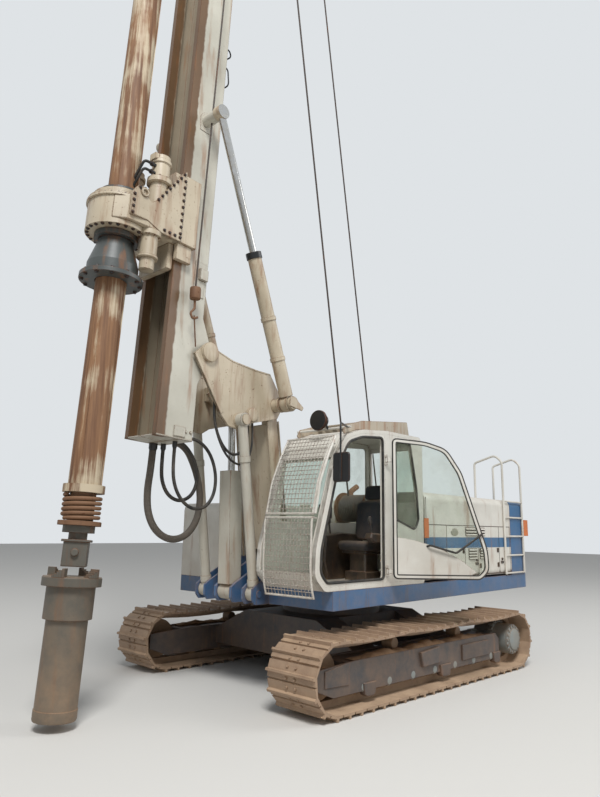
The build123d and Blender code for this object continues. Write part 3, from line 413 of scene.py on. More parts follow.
cover = ((0.196, 0.0), (0.196, 0.012), (0.150, 0.020), (0.146, 0.034), (0.135, 0.040), (0.060, 0.042))
roller_cap = ((0.055, 0.0), (0.055, 0.085), (0.047, 0.094), (0.030, 0.097))
roller_pitch = 0.46
for side, name in ((1, "left"), (-1, "right")):
    foot = (-wheel_base / 2, side * (track_middle + hub_face), track_height / 2)
    axis = (0, side, 0)
    shells = [turned(cover, foot, axis, 48)] + screws(np.add(foot, (0, side * 0.012, 0)), axis, 0.173, 16)
    shells += [turned(roller_cap, (roller_pitch * step, side * (track_middle + 0.115), 0.233), axis, 20)
               for step in (-3, -2, -1, 0, 1, 2, 3)]
    build(f"hub_cover_{name}", [stood(shell) for shell in shells], hub_enamel, "undercarriage")
    guards = [
        (((rear, 0.270), (front, 0.270), (front - 0.02, 0.150), (front - 0.06, 0.128), (rear + 0.05, 0.128),
          (rear + 0.02, 0.150)), 0.150, 0.230)
        for rear, front in ((-1.62, -1.42), (-0.34, -0.10), (1.18, 1.40))]
    guards += [
        (((-1.30, 0.262), (-0.62, 0.262), (-0.62, 0.455), (-1.30, 0.455)), 0.209, 0.232),
        (((-0.10, 0.310), (0.30, 0.300), (0.34, 0.470), (-0.06, 0.500)), 0.209, 0.250),
        (((1.64, 0.285), (2.02, 0.300), (2.02, 0.470), (1.64, 0.520)), 0.209, 0.222)]
    build(f"frame_guards_{name}",
          [stood(slab(outline, side * (track_middle + near), side * (track_middle + far), "y", 0.006))
           for outline, near, far in guards], dark_enamel, "undercarriage")

# Earth on the side frames: a ridge that dropped off the shoes, heaped along the beam's top on its outside.
# It is one surface: a rounded section carried along the beam, its height drifting with summed sines, and
# it has no gloss at all.
earth = painted_steel("dried_earth", "#86664b", rust=0.2, dust=0.6, gloss=0.95, streak="#5d4330")
for side, name in ((1, "left"), (-1, "right")):
    station = np.linspace(-1.30, 1.50, 90)
    ridge = 0.035 + 0.02 * np.sin(7 * station + side)
    ridge += 0.012 * np.sin(23 * station)
    ridge += 0.008 * np.sin(61 * station)
    ridge *= np.sin(np.pi * (station + 1.31) / 2.84) ** 0.4
    arc = np.linspace(0, np.pi, 9)
    across = side * (track_middle + 0.12 + 0.085 * np.cos(arc))
    rings = np.stack([
        station[:, None] + 0 * arc, across[None] + 0 * station[:, None],
        0.512 + ridge[:, None] * np.sin(arc) + 0.004 * np.sin(40 * station[:, None] + 5 * arc)], -1)
    build(f"earth_{name}", [stood(skin(rings))], earth, "undercarriage")

# Machine house: folded steel doors with rounded edges on a deck frame, cream above and blue below.
# Door gaps, louvres, hinges, handles, blank plates and a hood are pieces let into or laid on its faces.
# The gaps, the louvres' backs and the hood's slots are near-black pieces of painted shade.
stripe_low, stripe_high = 1.68, 1.83


def house_paint(tree, place):
    """Cream enamel with a blue band at door height on the left side: three comparisons of height and side,
    multiplied with one another, choose between the two colours."""
    height = add(tree, "SeparateXYZ", {0: place})
    over = add(tree, "Math", {0: height.outputs[2], 1: stripe_low}, operation="GREATER_THAN")
    under = add(tree, "Math", {0: height.outputs[2], 1: stripe_high}, operation="LESS_THAN")
    left = add(tree, "Math", {0: height.outputs[1], 1: 1.2}, operation="GREATER_THAN")
    band = add(tree, "Math", {0: over, 1: under}, operation="MULTIPLY")
    belt = add(tree, "Math", {0: band, 1: left}, operation="MULTIPLY")
    return add(tree, "MixRGB", {"Fac": belt, "Color1": linear("#d9d6cd"), "Color2": linear("#2a648f")})


# Cream is a half-gloss enamel and blue a more faded one; black is glossier, for small parts; the dark gap
# is painted shade, a near-black finish for the unlit inside that gaps, slots and louvres show, and for the
# engine inside the house; orange is for the blank plates.
cream = painted_steel("cream_enamel", "#d9d6cd", rust=0.3, dust=0.22)
striped = painted_steel("striped_house_enamel", "#d9d6cd", rust=0.35, dust=0.25, paint=house_paint)
blue = painted_steel("blue_enamel", "#22608f", rust=0.42, dust=0.3, streak="#5f4a3a")
black_enamel = painted_steel("black_enamel", "#17191b", rust=0.1, dust=0.28, gloss=0.35)
painted_gap_shade = painted_steel("painted_gap_shade", "#0d0e0f", rust=0.05, dust=0.15, gloss=0.7)
orange = painted_steel("orange_plate", "#d8722a", rust=0.1, dust=0.2, gloss=0.45)
dress(striped, "engine_house", "right_house")
dress(blue, "deck", "counterweight")
# The engine inside the house is dressed in the same near-black painted shade.
dress(painted_gap_shade, "engine")
side_y = 1.504
gap_half, gap_deep, gap_proud = 0.005, 0.004, 0.0016


def gap(side, x0, z0, x1, z1):
    """A door gap drawn as painted shade: a thin near-black bar let into a side wall, half a gap's width
    round a straight line.
    """
    return box((x0 - gap_half, side * (side_y - gap_deep), z0 - gap_half),
               (x1 + gap_half, side * (side_y + gap_proud), z1 + gap_half), 0.0005)


doors = []
for x0, x1, z0, z1 in (
    (-2.75, -0.16, 1.997, 1.997), (-2.75, -0.16, 1.290, 1.290), (-2.75, -2.75, 1.29, 1.997),
    (-2.35, -2.35, 1.29, 1.997), (-1.64, -1.64, 1.29, 1.68), (-1.23, -1.23, 1.29, 1.68),
    (-0.70, -0.70, 1.29, 1.997), (-0.16, -0.16, 1.29, 2.36),
):
    doors.append(gap(1, x0, z0, x1, z1))
for x in (-0.90, -0.12, 0.62):
    doors.append(gap(-1, x, 1.275, x, 2.145))
for x0, x1, z0, z1 in ((-2.62, -1.98, 1.30, 2.20), (-1.62, -0.30, 1.30, 2.20)):
    doors += [gap(-1, x0, z, x1, z) for z in (z0, z1)]
    doors += [gap(-1, x, z0, x, z1) for x in (x0, x1)]
slats, louvre_back_shade = [], []
for side, rear, front, bottom, top, number in (
    (1, -1.870, -1.250, 1.850, 1.975, 3), (1, -1.600, -1.330, 1.510, 1.670, 4),
    (1, -1.950, -1.680, 1.510, 1.670, 4), (-1, -2.640, -1.960, 1.480, 2.080, 9),
):
    # Each louvre's opening is backed by a near-black plate of painted shade.
    louvre_back_shade.append(box((rear, side * (side_y - 0.003), bottom),
                        (front, side * (side_y + 0.002), top), 0.0005))
    step = (top - bottom) / number
    for index in range(number):
        low = bottom + (index + 0.15) * step
        section = np.array([(0.001, 0.72 * step), (0.016, 0.10 * step), (0.018, 0.0), (0.012, 0.0),
                            (0.001, 0.5 * step)])
        rings = [np.column_stack([np.full(5, x), side * (side_y + section[:, 0]), low + section[:, 1]])
                 for x in (rear + 0.01, front - 0.01)]
        slats.append(skin(rings))
build("house_door_gap_shade", doors + louvre_back_shade, painted_gap_shade, "upper")
build("house_louvres", slats, cream, "upper")
hinge_pin = ((0.009, 0), (0.009, 0.07), (0.006, 0.072))
lock_disc = ((0.020, 0), (0.020, 0.014), (0.014, 0.018))
fittings = []
for x in (-2.30, -1.70, -1.18, -0.66, -0.22):
    for z in (1.38, 1.60):
        fittings.append(turned(hinge_pin, (x, side_y + 0.007, z), (0, 0, 1), 12))
        fittings.append(box((x - 0.030, side_y - 0.001, z + 0.005),
                            (x + 0.030, side_y + 0.005, z + 0.065), 0.001))
for x in (-2.44, -1.58, -0.80):
    fittings.append(box((x - 0.045, side_y - 0.001, 1.43), (x + 0.045, side_y + 0.010, 1.47), 0.003))
    fittings.append(turned(lock_disc, (x, side_y, 1.50), (0, 1, 0), 20))
fittings += screws((-0.70, -1.15, 2.252), (0, 0, 1), 0.070, 8, 0.014, 0.009)
build("house_fittings", fittings, black_enamel, "upper")
plates = [box((-0.227, side_y - 0.001, 1.819), (-0.104, side_y + 0.003, 2.081), 0.001),
          box((-3.49, side_y - 0.001, 1.858), (-3.317, side_y + 0.003, 2.124), 0.001),
          box((1.559, -1.03, 1.04), (1.563, -0.90, 1.235), 0.001)]
build("blank_plates", plates, orange, "upper")
cap = ((0.078, 0), (0.078, 0.040), (0.092, 0.042), (0.092, 0.060), (0.080, 0.066), (0.030, 0.068))
hood = [(-2.632, 2.420), (-1.880, 2.420), (-1.880, 2.455), (-1.92, 2.476), (-2.592, 2.476), (-2.632, 2.455)]
# The hood's slots are near-black bars of painted shade.
slots = [box((x, -0.60, 2.474), (x + 0.035, 0.60, 2.478), 0.0005) for x in np.linspace(-2.54, -1.99, 6)]
build("engine_hood", [slab(hood, -0.76, 0.76, "y", 0.012), turned(cap, (-0.70, -1.15, 2.248), (0, 0, 1), 32)],
      cream, "upper")
build("hood_slot_shade", slots, painted_gap_shade, "upper")

# Cab: cream pressings bent over a curved profile, with the door swung open at its hinges.
# Side walls are plates with rounded openings; roof, floor and corners are a thick sheet carried round.
# Panes lie in the openings, and rubber profiles go round them.
def bend(points, corners, closed=True, steps=6):
    """A line of points whose corners are rounded: each is cut back by its radius over the tangent of half its
    angle, and the cut is bridged by a quadratic curve."""
    points = np.asarray(points, float)
    corners = np.broadcast_to(corners, len(points))
    share = np.linspace(0, 1, steps)[:, None]
    made = []
    for index, here in enumerate(points):
        if corners[index] == 0 or (not closed and index in (0, len(points) - 1)):
            made.append(here[None])
            continue
        back, on = points[index - 1] - here, points[(index + 1) % len(points)] - here
        back_length, on_length = np.linalg.norm(back), np.linalg.norm(on)
        back, on = back / back_length, on / on_length
        half = 0.5 * math.acos(max(-1.0, min(1.0, float(back @ on))))
        cut = min(corners[index] / math.tan(half), 0.48 * back_length, 0.48 * on_length)
        made.append((1 - share) ** 2 * (here + back * cut) + 2 * share * (1 - share) * here
                    + share ** 2 * (here + on * cut))
    return np.concatenate(made)


def around(outline, middle, angle):
    """Where rays from a middle point, at given angles, cross an outline: the edge each ray meets is found by
    angle, and the ray's length is the ratio of two cross products."""
    outline = np.asarray(outline, float) - middle
    own = np.arctan2(outline[:, 1], outline[:, 0])
    order = np.argsort(own)
    outline, own = outline[order], own[order]
    index = np.searchsorted(own, angle, "right") % len(own)
    first, edge = outline[index - 1], outline[index] - outline[index - 1]
    ray = np.column_stack([np.cos(angle), np.sin(angle)])
    first_by_edge = first[:, 0] * edge[:, 1] - first[:, 1] * edge[:, 0]
    ray_by_edge = ray[:, 0] * edge[:, 1] - ray[:, 1] * edge[:, 0]
    return middle + ray * (first_by_edge / ray_by_edge)[:, None]


def window(outer, inner, low, high, middle=None):
    """A plate with one opening, from one Y to another: both outlines are crossed by the same rays from a
    middle point, and the rings that these give are joined round."""
    middle = np.mean(inner, axis=0) if middle is None else np.asarray(middle, float)
    angle = np.concatenate([np.arctan2(*(np.asarray(line) - middle).T[::-1]) for line in (outer, inner)])
    angle = np.unique(np.round(np.concatenate([angle, np.linspace(-3.1, 3.1, 60)]), 5))
    out, into = around(outer, middle, angle), around(inner, middle, angle)
    return skin([
        laid(out, low, "y"), laid(out, high, "y"), laid(into, high, "y"), laid(into, low, "y")], True)


def cut_at(outline, place, keep):
    """The part of an outline before (-1) or past (1) a place along X: edges that cross it are cut there."""
    made = []
    after = np.roll(outline, -1, axis=0)
    for here, there in zip(outline, after):
        inside, inside_next = (here[0] - place) * keep >= 0, (there[0] - place) * keep >= 0
        if inside:
            made.append(here)
        if inside != inside_next:
            made.append(here + (there - here) * (place - here[0]) / (there[0] - here[0]))
    return np.array(made)


def strip(line, normals, thick, low, high):
    """A sheet of steel along a line in the XZ plane, from one Y to another, thickened against its normals."""
    inner = line - normals * thick
    return skin(np.stack([laid(line, low, "y"), laid(line, high, "y"), laid(inner, high, "y"),
                          laid(inner, low, "y")], 1))


def tube(path, radius, sides=12):
    """A round bar along a path: at each station its circle lies across the path's direction, and the circle's
    start is carried on by taking away what points along the path."""
    path = np.asarray(path, float)
    along = np.gradient(path, axis=0)
    along /= np.linalg.norm(along, axis=1, keepdims=True)
    start = facing(along[0])[:, 0]
    angle = np.linspace(0, 2 * np.pi, sides, endpoint=False)[:, None]
    rings = []
    for place, forward in zip(path, along):
        start = start - forward * (start @ forward)
        start /= np.linalg.norm(start)
        rings.append(place + radius * (np.cos(angle) * start + np.sin(angle) * np.cross(forward, start)))
    return skin(rings)


door_turn = math.radians(136)
hinge = np.array((0.785, 1.524, 0.0))
hinge_heights = (1.42, 2.78)


def swung(shell):
    """A skin of the closed door, turned open about the upright axis of its hinges."""
    points, faces = shell
    cosine, sine = math.cos(door_turn), math.sin(door_turn)
    return (points - hinge) @ np.array([(cosine, sine, 0), (-sine, cosine, 0), (0, 0, 1)]) + hinge, faces


cab_corners = np.array([
    (-0.100, 1.2393), (1.960, 1.2393), (2.130, 1.400), (2.118, 1.700), (1.810, 2.680), (1.600, 3.010),
    (1.290, 3.110), (0.740, 3.160), (-0.040, 3.160), (-0.100, 3.080)])
profile = bend(cab_corners, [0.04, 0.11, 0.15, 0.60, 0.45, 0.24, 0.60, 0.80, 0.055, 0.075])
quarter = bend(
    [(0.110, 1.925), (0.595, 2.060), (0.595, 3.070), (0.210, 3.080), (0.060, 2.458), (0.020, 2.060)],
    [0.09, 0.06, 0.06, 0.11, 0.30, 0.06])
inner_pane = bend([(-0.010, 2.000), (1.800, 2.000), (1.700, 2.700), (1.560, 2.950), (-0.010, 3.060)],
                  [0.06, 0.06, 0.20, 0.12, 0.06])
door_corners = (0.06, 0.11, 0.15, 0.60, 0.45, 0.24, 0.60, 0.06)
door_part = cut_at(cab_corners, 0.745, 1)
door_middle = (1.25, 2.1)
opening = bend(inset(door_part, 0.092), door_corners)
wall = 0.045
shells = [window(cut_at(profile, 0.790, -1), quarter, 1.5 - wall, 1.5),
          window(cut_at(profile, 0.790, 1), opening, 1.5 - wall, 1.5, door_middle),
          window(profile, inner_pane, 0.6, 0.6 + wall)]
along = np.roll(profile, -1, axis=0) - np.roll(profile, 1, axis=0)
normals = np.column_stack([along[:, 1], -along[:, 0]]) / np.linalg.norm(along, axis=1, keepdims=True)
front = (profile[:, 0] > 1.6) & (profile[:, 1] > 1.42) & (profile[:, 1] < 2.90)
for low, high in ((0.602, 0.67), (1.43, 1.498)):
    rings = [laid(profile, low, "y"), laid(profile, high, "y"), laid(profile - normals * wall, high, "y"),
             laid(profile - normals * wall, low, "y")]
    shells.append(skin(rings, True))
first, last = np.flatnonzero(front)[[0, -1]]
for piece_of_line in (slice(0, first + 1), slice(last, len(profile))):
    shells.append(strip(profile[piece_of_line], normals[piece_of_line], wall, 0.67, 1.43))
shells.append(box((-0.10, 0.67, 1.25), (-0.055, 1.43, 2.29)))
shells.append(box((-0.10, 0.67, 3.00), (-0.055, 1.43, 3.08)))
for z in hinge_heights:
    shells += [box((0.773, 1.498, z + step), (0.797, 1.536, z + step + 0.024)) for step in (-0.062, 0.038)]
    shells.append(turned(((0.008, 0), (0.008, 0.13)), (0.785, 1.524, z - 0.065), (0, 0, 1), 12))
build("cab_frame", shells, cream, "upper", ("cab_shell",))
# Black rubber: a dull black with a grey-brown bloom in patches of about 110 mm. Its own grain is finer
# than the 6 mm that is drawn.
rubber, tree = blank("black_rubber")
place = add(tree, "TexCoord").outputs["Object"]
grain = add(tree, "TexNoise", {"Vector": place, "Scale": 9.0, "Detail": 7.0, "Roughness": 0.7})
bloom = add(tree, "MapRange", {0: grain, 1: 0.42, 2: 0.75, 3: 0.0, 4: 0.55})
tone = add(tree, "MixRGB", {"Fac": bloom, "Color1": linear("#141414"), "Color2": linear("#5f5549")})
fine = add(tree, "TexNoise", {"Vector": place, "Scale": 180.0, "Detail": 3.0})
bump = add(tree, "Bump", {"Height": fine, "Strength": 0.25, "Distance": 0.001})
shade = add(tree, "BsdfPrincipled", {"Base Color": tone, "Roughness": 0.62, "Normal": bump})
add(tree, "OutputMaterial", {"Surface": shade})


def seal(outline, place, radius):
    """A rubber profile round an opening: a round bar along the closed outline."""
    loop = laid(np.vstack([outline, outline[:2]]), place, "y")
    return tube(loop, radius, 8)


door_outline = bend(inset(door_part, 0.103), door_corners)
door_pane = inset(door_outline, 0.042)
seals = [seal(quarter, 1.498, 0.016), seal(opening, 1.499, 0.017)]
build("cab_seals", seals, rubber, "upper")
x_line = np.linspace(1.880, door_pane[:, 0].min() + 0.001, 16)
arc = np.interp(x_line, (0.785, 1.10, 1.386, 1.68, 1.92), (1.849, 1.800, 1.719, 1.570, 1.390))
low = door_pane[:, 1].min()
panel = np.vstack([[(x_line[-1], low), (1.80, low)], np.column_stack([x_line, np.maximum(arc, low + 0.01)])])
leaf = [window(door_outline, door_pane, 1.46, 1.50, door_middle), slab(panel, 1.462, 1.498),
        turned(((0.045, 0), (0.045, 0.012), (0.030, 0.016)), (1.62, 1.495, 1.90), (0, 1, 0), 24)]
for z in hinge_heights:
    leaf.append(turned(((0.016, 0), (0.016, 0.060)), (0.785, 1.524, z - 0.030), (0, 0, 1), 16))
    leaf.append(box((0.790, 1.500, z - 0.028), (0.870, 1.512, z + 0.028)))
build("door_leaf", [swung(shell) for shell in leaf], cream, "cab_door", ("cab_door",))
rail = bend([(1.262, 1.462, 1.725), (1.290, 1.418, 1.740), (1.610, 1.418, 1.650), (1.880, 1.418, 1.838),
             (1.950, 1.440, 1.885)], 0.05, False)
trim = [seal(door_outline, 1.468, 0.011), seal(door_pane, 1.461, 0.007), tube(rail, 0.013)]
build("door_trim", [swung(shell) for shell in trim], rubber, "cab_door")
# Tinted glass: nearly clear with a trace of green, dulled by a thin film of dust in wide patches. It is
# rendered with a low IOR, because each pane is a thin sheet that hardly bends what is behind it.
glass, tree = blank("green_tinted_glass")
place = add(tree, "TexCoord").outputs["Object"]
film = add(tree, "TexNoise", {"Vector": place, "Scale": 3.0, "Detail": 8.0, "Roughness": 0.65})
dirt = add(tree, "MapRange", {0: film, 1: 0.45, 2: 0.85, 3: 0.03, 4: 0.22})
clear = add(tree, "BsdfGlass", {"Color": linear("#f3f7f4"), "Roughness": 0.0, "IOR": 1.10})
film_shade = add(tree, "BsdfPrincipled", {"Base Color": linear("#aca593"), "Roughness": 0.85})
mixed = add(tree, "MixShader", {0: dirt, 1: clear, 2: film_shade})
add(tree, "OutputMaterial", {"Surface": mixed})
build("door_pane", [swung(slab(inset(door_pane, -0.006), 1.476, 1.484, "y", 0.001))], glass, "cab_door",
      ("door_glass",))
front_line = profile[front]
panes = [slab(inset(quarter, -0.006), 1.472, 1.480, "y", 0.001),
         slab(inset(inner_pane, -0.006), 0.615, 0.623, "y", 0.001),
         strip(front_line - normals[front] * 0.012, normals[front], 0.008, 0.675, 1.425),
         box((-0.085, 0.69, 2.28), (-0.077, 1.43, 3.01), 0.001)]
build("cab_panes", panes, glass, "upper", ("cab_glass",))

# Guards: welded wire lattices in round-bar rims in front of the cab's window, and slats over its roof.
# The lamp, a ribbed can on a bent tube, and the mirror on its long arm are fixed to the roof's edge too.
guard = bend([(2.095, 1.180), (2.128, 1.290), (2.150, 1.500), (2.140, 1.985), (2.040, 2.440), (1.900, 2.750),
              (1.768, 2.977)], 0.4, False, 8)
guard_length = np.concatenate([[0], np.cumsum(np.linalg.norm(np.diff(guard, axis=0), axis=1))])


def on_guard(share, y):
    """A place on the guard's curve at a share of its length."""
    reach = share * guard_length[-1]
    return np.stack([np.interp(reach, guard_length, guard[:, 0]), y + 0 * reach,
                     np.interp(reach, guard_length, guard[:, 1])], -1)


split = 0.47
rims, wires = [], []
for low, high, rows in ((0.0, split - 0.012, 14), (split + 0.012, 1.0, 17)):
    for y in (0.740, 1.454):
        rims.append(tube(on_guard(np.linspace(low, high, 24), y), 0.013, 8))
    for share in (low, high):
        rims.append(tube(on_guard(np.full(2, share), np.array((0.730, 1.464))), 0.013, 8))
    for y in np.linspace(0.740, 1.454, 15)[1:-1]:
        wires.append(tube(on_guard(np.linspace(low, high, 18), y), 0.0042, 6))
    for share in np.linspace(low, high, rows + 1)[1:-1]:
        wires.append(tube(on_guard(np.full(2, share), np.array((0.740, 1.454))) + (0.005, 0, 0), 0.0042, 6))
rims.append(tube(on_guard(np.linspace(0.48, 1.0, 20), 1.492) + (0.004, 0, 0), 0.014, 10))
rims.append(tube([(1.500, 0.650, 3.118), (1.500, 1.500, 3.118)], 0.015, 12))
for share in (0.13, 0.46, 0.95):
    for y in (0.735, 1.459):
        tip = on_guard(np.array([share]), y)[0]
        rims.append(tube([tip, tip - (0.065, 0, 0.01)], 0.010, 8))
build("front_guard_rims", rims, cream, "upper")
build("front_guard_wires", wires, cream, "upper")
roof = bend([(0.113, 3.158), (0.740, 3.160), (1.290, 3.112), (1.530, 3.034), (1.562, 3.060), (1.505, 3.145),
             (1.180, 3.237), (0.160, 3.352)], 0.02)
shells = [slab(roof, y - 0.008, y + 0.008) for y in (0.690, 1.425)]
for x in 0.190 + 0.160 * np.arange(7):
    top = 3.352 - (x - 0.160) * 0.115 / 1.020
    shells.append(box((x - 0.045, 0.690, top - 0.030), (x + 0.045, 1.425, top - 0.016)))
# The roof guard's enamel is the cab's own, gone brown where water lies.
dirty_cream = painted_steel("rusty_cream_enamel", "#b6ab98", rust=0.9, dust=0.5, dust_colour="#7c6a55")
build("roof_guard", shells, dirty_cream, "upper")
lamp_line = (1, 0, 0.02)
lamp_can = ((0.03, 0), (0.080, 0), (0.080, 0.045), (0.104, 0.046), (0.104, 0.058), (0.112, 0.062),
            (0.112, 0.074), (0.122, 0.078), (0.122, 0.114), (0.108, 0.116))
lamp = [turned(lamp_can, (1.590, 1.150, 3.200), lamp_line, 40),
        tube([(1.500, 1.150, 3.118), (1.540, 1.150, 3.16), (1.60, 1.150, 3.20)], 0.016)]
lamp_rib = ((0.122, 0), (0.126, 0.003), (0.122, 0.006))
lamp += [turned(lamp_rib, (1.590 + start, 1.150, 3.2005), lamp_line, 40) for start in (0.080, 0.090, 0.100)]
mirror = bend([(1.580, 2.425), (1.815, 2.425), (1.815, 2.755), (1.580, 2.755)], 0.04)
mirror_arm = bend([(1.510, 1.466, 3.110), (1.947, 1.700, 3.088), (1.947, 1.700, 2.450)], 0.05, False)
lamp += [slab(mirror, 1.911, 1.939, "x", 0.008), tube(mirror_arm, 0.011)]
build("lamp_and_mirror", lamp, black_enamel, "upper")

# Seat and consoles: a suspended seat with cloth cushions between two dark consoles.
# It shows through the doorway. The cushions are crowned forms that pull in at their sides, in a matt dark
# cloth whose threads are too fine to show.
cloth = painted_steel("dark_seat_cloth", "#26292e", rust=0.0, dust=0.25, gloss=0.9)
floor_z, seat_y = 1.2846, 1.035
arm_rest = [(0.430, 0.469), (0.900, 0.469), (0.985, 0.530), (0.960, 0.590), (0.430, 0.570)]
console = [(0.250, 0), (1.000, 0), (1.080, 0.240), (1.040, 0.560), (0.700, 0.590), (0.250, 0.560)]
base = [box((0.430, seat_y - 0.17, floor_z), (0.800, seat_y + 0.17, floor_z + 0.11), 0.01),
        box((0.470, seat_y - 0.13, floor_z + 0.10), (0.760, seat_y + 0.13, floor_z + 0.33), 0.02),
        box((0.400, seat_y - 0.19, floor_z + 0.329), (0.830, seat_y + 0.19, floor_z + 0.365), 0.01),
        box((0.560, 1.330, floor_z + 0.1), (0.640, 1.400, floor_z + 0.47), 0.01),
        slab(np.array(arm_rest) + (0, floor_z), 1.310, 1.420, "y", 0.015),
        slab(np.array(console) + (0, floor_z), 0.657, 0.762, "y", 0.015),
        box((1.060, 0.662, floor_z + 0.76), (1.095, 0.872, floor_z + 0.94), 0.01),
        tube([(1.000, 0.709, floor_z + 0.54), (1.080, 0.717, floor_z + 0.80)], 0.012)]
for y in (0.709, 1.365):
    base += [tube([(0.900, y, floor_z + 0.56), (0.925, y, floor_z + 0.70)], 0.013),
             turned(((0.014, 0), (0.024, 0.02), (0.026, 0.07), (0.016, 0.095)), (0.925, y, floor_z + 0.695),
                    (0.15, 0, 1), 16)]
build("seat_base_and_consoles", base, black_enamel, "upper")
cushions = []
for outline, half in (
    (((0.425, 0.366), (0.870, 0.366), (0.905, 0.440), (0.860, 0.490), (0.470, 0.470)), 0.235),
    (((0.418, 0.495), (0.520, 0.490), (0.455, 1.000), (0.365, 1.030), (0.345, 0.960)), 0.225),
    (((0.340, 1.040), (0.420, 1.012), (0.390, 1.210), (0.315, 1.220)), 0.130),
):
    line = bend(np.array(outline) + (0, floor_z), 0.045)
    middle = line.mean(axis=0)
    across = np.linspace(-1, 1, 15)
    swell = 0.80 + 0.20 * np.sqrt(1 - np.abs(across) ** 4)
    cushions.append(skin([laid(middle + (line - middle) * share, seat_y + half * y, "y")
                          for share, y in zip(swell, across)]))
build("seat_cushions", cushions, cloth, "upper")

# Mast: a cream box section worn brown on its rails, leaned back about its hinge, with its small fittings.
# The finishes that the linkage, the drive and the kelly bar share with it are made here too.

# Worn steel is a rough warm brown; the mast's and the linkage's enamels are pale with rust runs; the cone's
# is a dull grey; hard chrome is a mirror dulled by oily smears of about 70 mm.
rusty = painted_steel("worn_rusty_steel", "#7d5a3f", rust=0.8, dust=0.3, gloss=0.7, streak="#4e3426")
lean = math.radians(2.96)
mast_hinge = (2.780, 3.950)


def mast_paint(tree, place):
    """Pale enamel on the mast's sides, brown between its rails and darker brown on the rails' faces: the
    place is turned upright about Y, and bands are chosen by how far forward and how far out it lies."""
    turned_up = add(tree, "SeparateXYZ", {0: place})
    forward = add(tree, "Math", {0: turned_up, 1: math.cos(lean)}, operation="MULTIPLY")
    raised = add(tree, "Math", {0: turned_up.outputs[2], 1: math.sin(lean)}, operation="MULTIPLY")
    upright = add(tree, "Math", {0: forward, 1: raised}, operation="ADD")
    hinge_part = mast_hinge[0] * math.cos(lean) + mast_hinge[1] * math.sin(lean) - mast_hinge[0]
    wobble = add(tree, "TexNoise", {"Vector": place, "Scale": 7.0, "Detail": 6.0})
    uneven = add(tree, "MapRange", {0: wobble, 1: 0.0, 2: 1.0, 3: -0.03, 4: 0.03})
    line = add(tree, "Math", {0: upright, 1: uneven}, operation="ADD")
    rail_from, rail_to = 3.243 + hinge_part, 3.263 + hinge_part
    web_from, web_to = 3.020 + hinge_part, 3.050 + hinge_part
    rail = add(tree, "MapRange", {0: line, 1: rail_from, 2: rail_to, 3: 0.0, 4: 1.0})
    web = add(tree, "MapRange", {0: line, 1: web_from, 2: web_to, 3: 0.0, 4: 0.8})
    out = add(tree, "Math", {0: turned_up.outputs[1]}, operation="ABSOLUTE")
    within = add(tree, "Math", {0: out, 1: 0.298}, operation="LESS_THAN")
    inner_web = add(tree, "Math", {0: web, 1: within}, operation="MULTIPLY")
    pale = add(tree, "MixRGB", {"Fac": inner_web, "Color1": linear("#c0bdb0"), "Color2": linear("#85765f")})
    return add(tree, "MixRGB", {"Fac": rail, "Color1": pale, "Color2": linear("#6a5139")})


mast_skin = painted_steel("mast_enamel", "#bcb8ab", rust=0.5, dust=0.3, paint=mast_paint)
mast_enamel = painted_steel("pale_mast_enamel", "#bcb8ab", rust=0.5, dust=0.3)
linkage = painted_steel("rust_run_cream_enamel", "#bfb29b", rust=0.85, dust=0.5, streak="#7c4f2e",
                        dust_colour="#86694d")
cone_enamel = painted_steel("grey_cone_enamel", "#4a4f4e", rust=0.6, dust=0.4, dust_colour="#6f6253")
chrome, tree = blank("hard_chrome")
place = add(tree, "TexCoord").outputs["Object"]
smear = add(tree, "TexNoise", {"Vector": place, "Scale": 14.0, "Detail": 6.0, "Roughness": 0.6})
film = add(tree, "MapRange", {0: smear, 1: 0.3, 2: 0.8, 3: 0.08, 4: 0.34})
tone = add(tree, "MixRGB", {"Fac": smear, "Color1": linear("#d3d6da"), "Color2": linear("#a9a294")})
shade = add(tree, "BsdfPrincipled", {"Base Color": tone, "Roughness": film, "Metallic": 1.0})
add(tree, "OutputMaterial", {"Surface": shade})
dress(mast_skin, "mast")
dress(mast_enamel, "mast_head", "lift_barrel", "tie_rods")
dress(linkage, "bracket", "arm", "luff_barrels", "crowd_barrel", "winch_frame")
dress(chrome, "lift_rod", "luff_rods")
dress(rusty, "main_winch_drum", "aux_winch_drum", "sheave_front", "sheave_rear", "sheave_aux")
dress(cone_enamel, "drive_sleeve")


def leaned(shell):
    """A skin laid out on the upright mast, turned back about the mast's hinge with it: along and over are
    turned by the lean's sine and cosine."""
    points, faces = shell
    along, over = points[:, 0] - mast_hinge[0], points[:, 2] - mast_hinge[1]
    return np.column_stack([
        mast_hinge[0] + along * math.cos(lean) - over * math.sin(lean), points[:, 1],
        mast_hinge[1] + along * math.sin(lean) + over * math.cos(lean)]), faces


def leaned_point(x, z):
    """Where a point of the upright mast's middle plane comes to when the mast leans."""
    return leaned((np.array([(x, 0.0, z)]), []))[0][0]


def mast_piece(name, shells, material, body="mast", replaces=()):
    """A piece of the mast or of what travels on it: its skins are laid out upright and leaned together."""
    return build(name, [leaned(shell) for shell in shells], material, body, replaces)


def both(outline, near, far, bevel=0.004):
    """The same plate on the left and on the right side, between two distances from the middle."""
    return [slab(outline, side * near, side * far, "y", bevel) for side in (1, -1)]


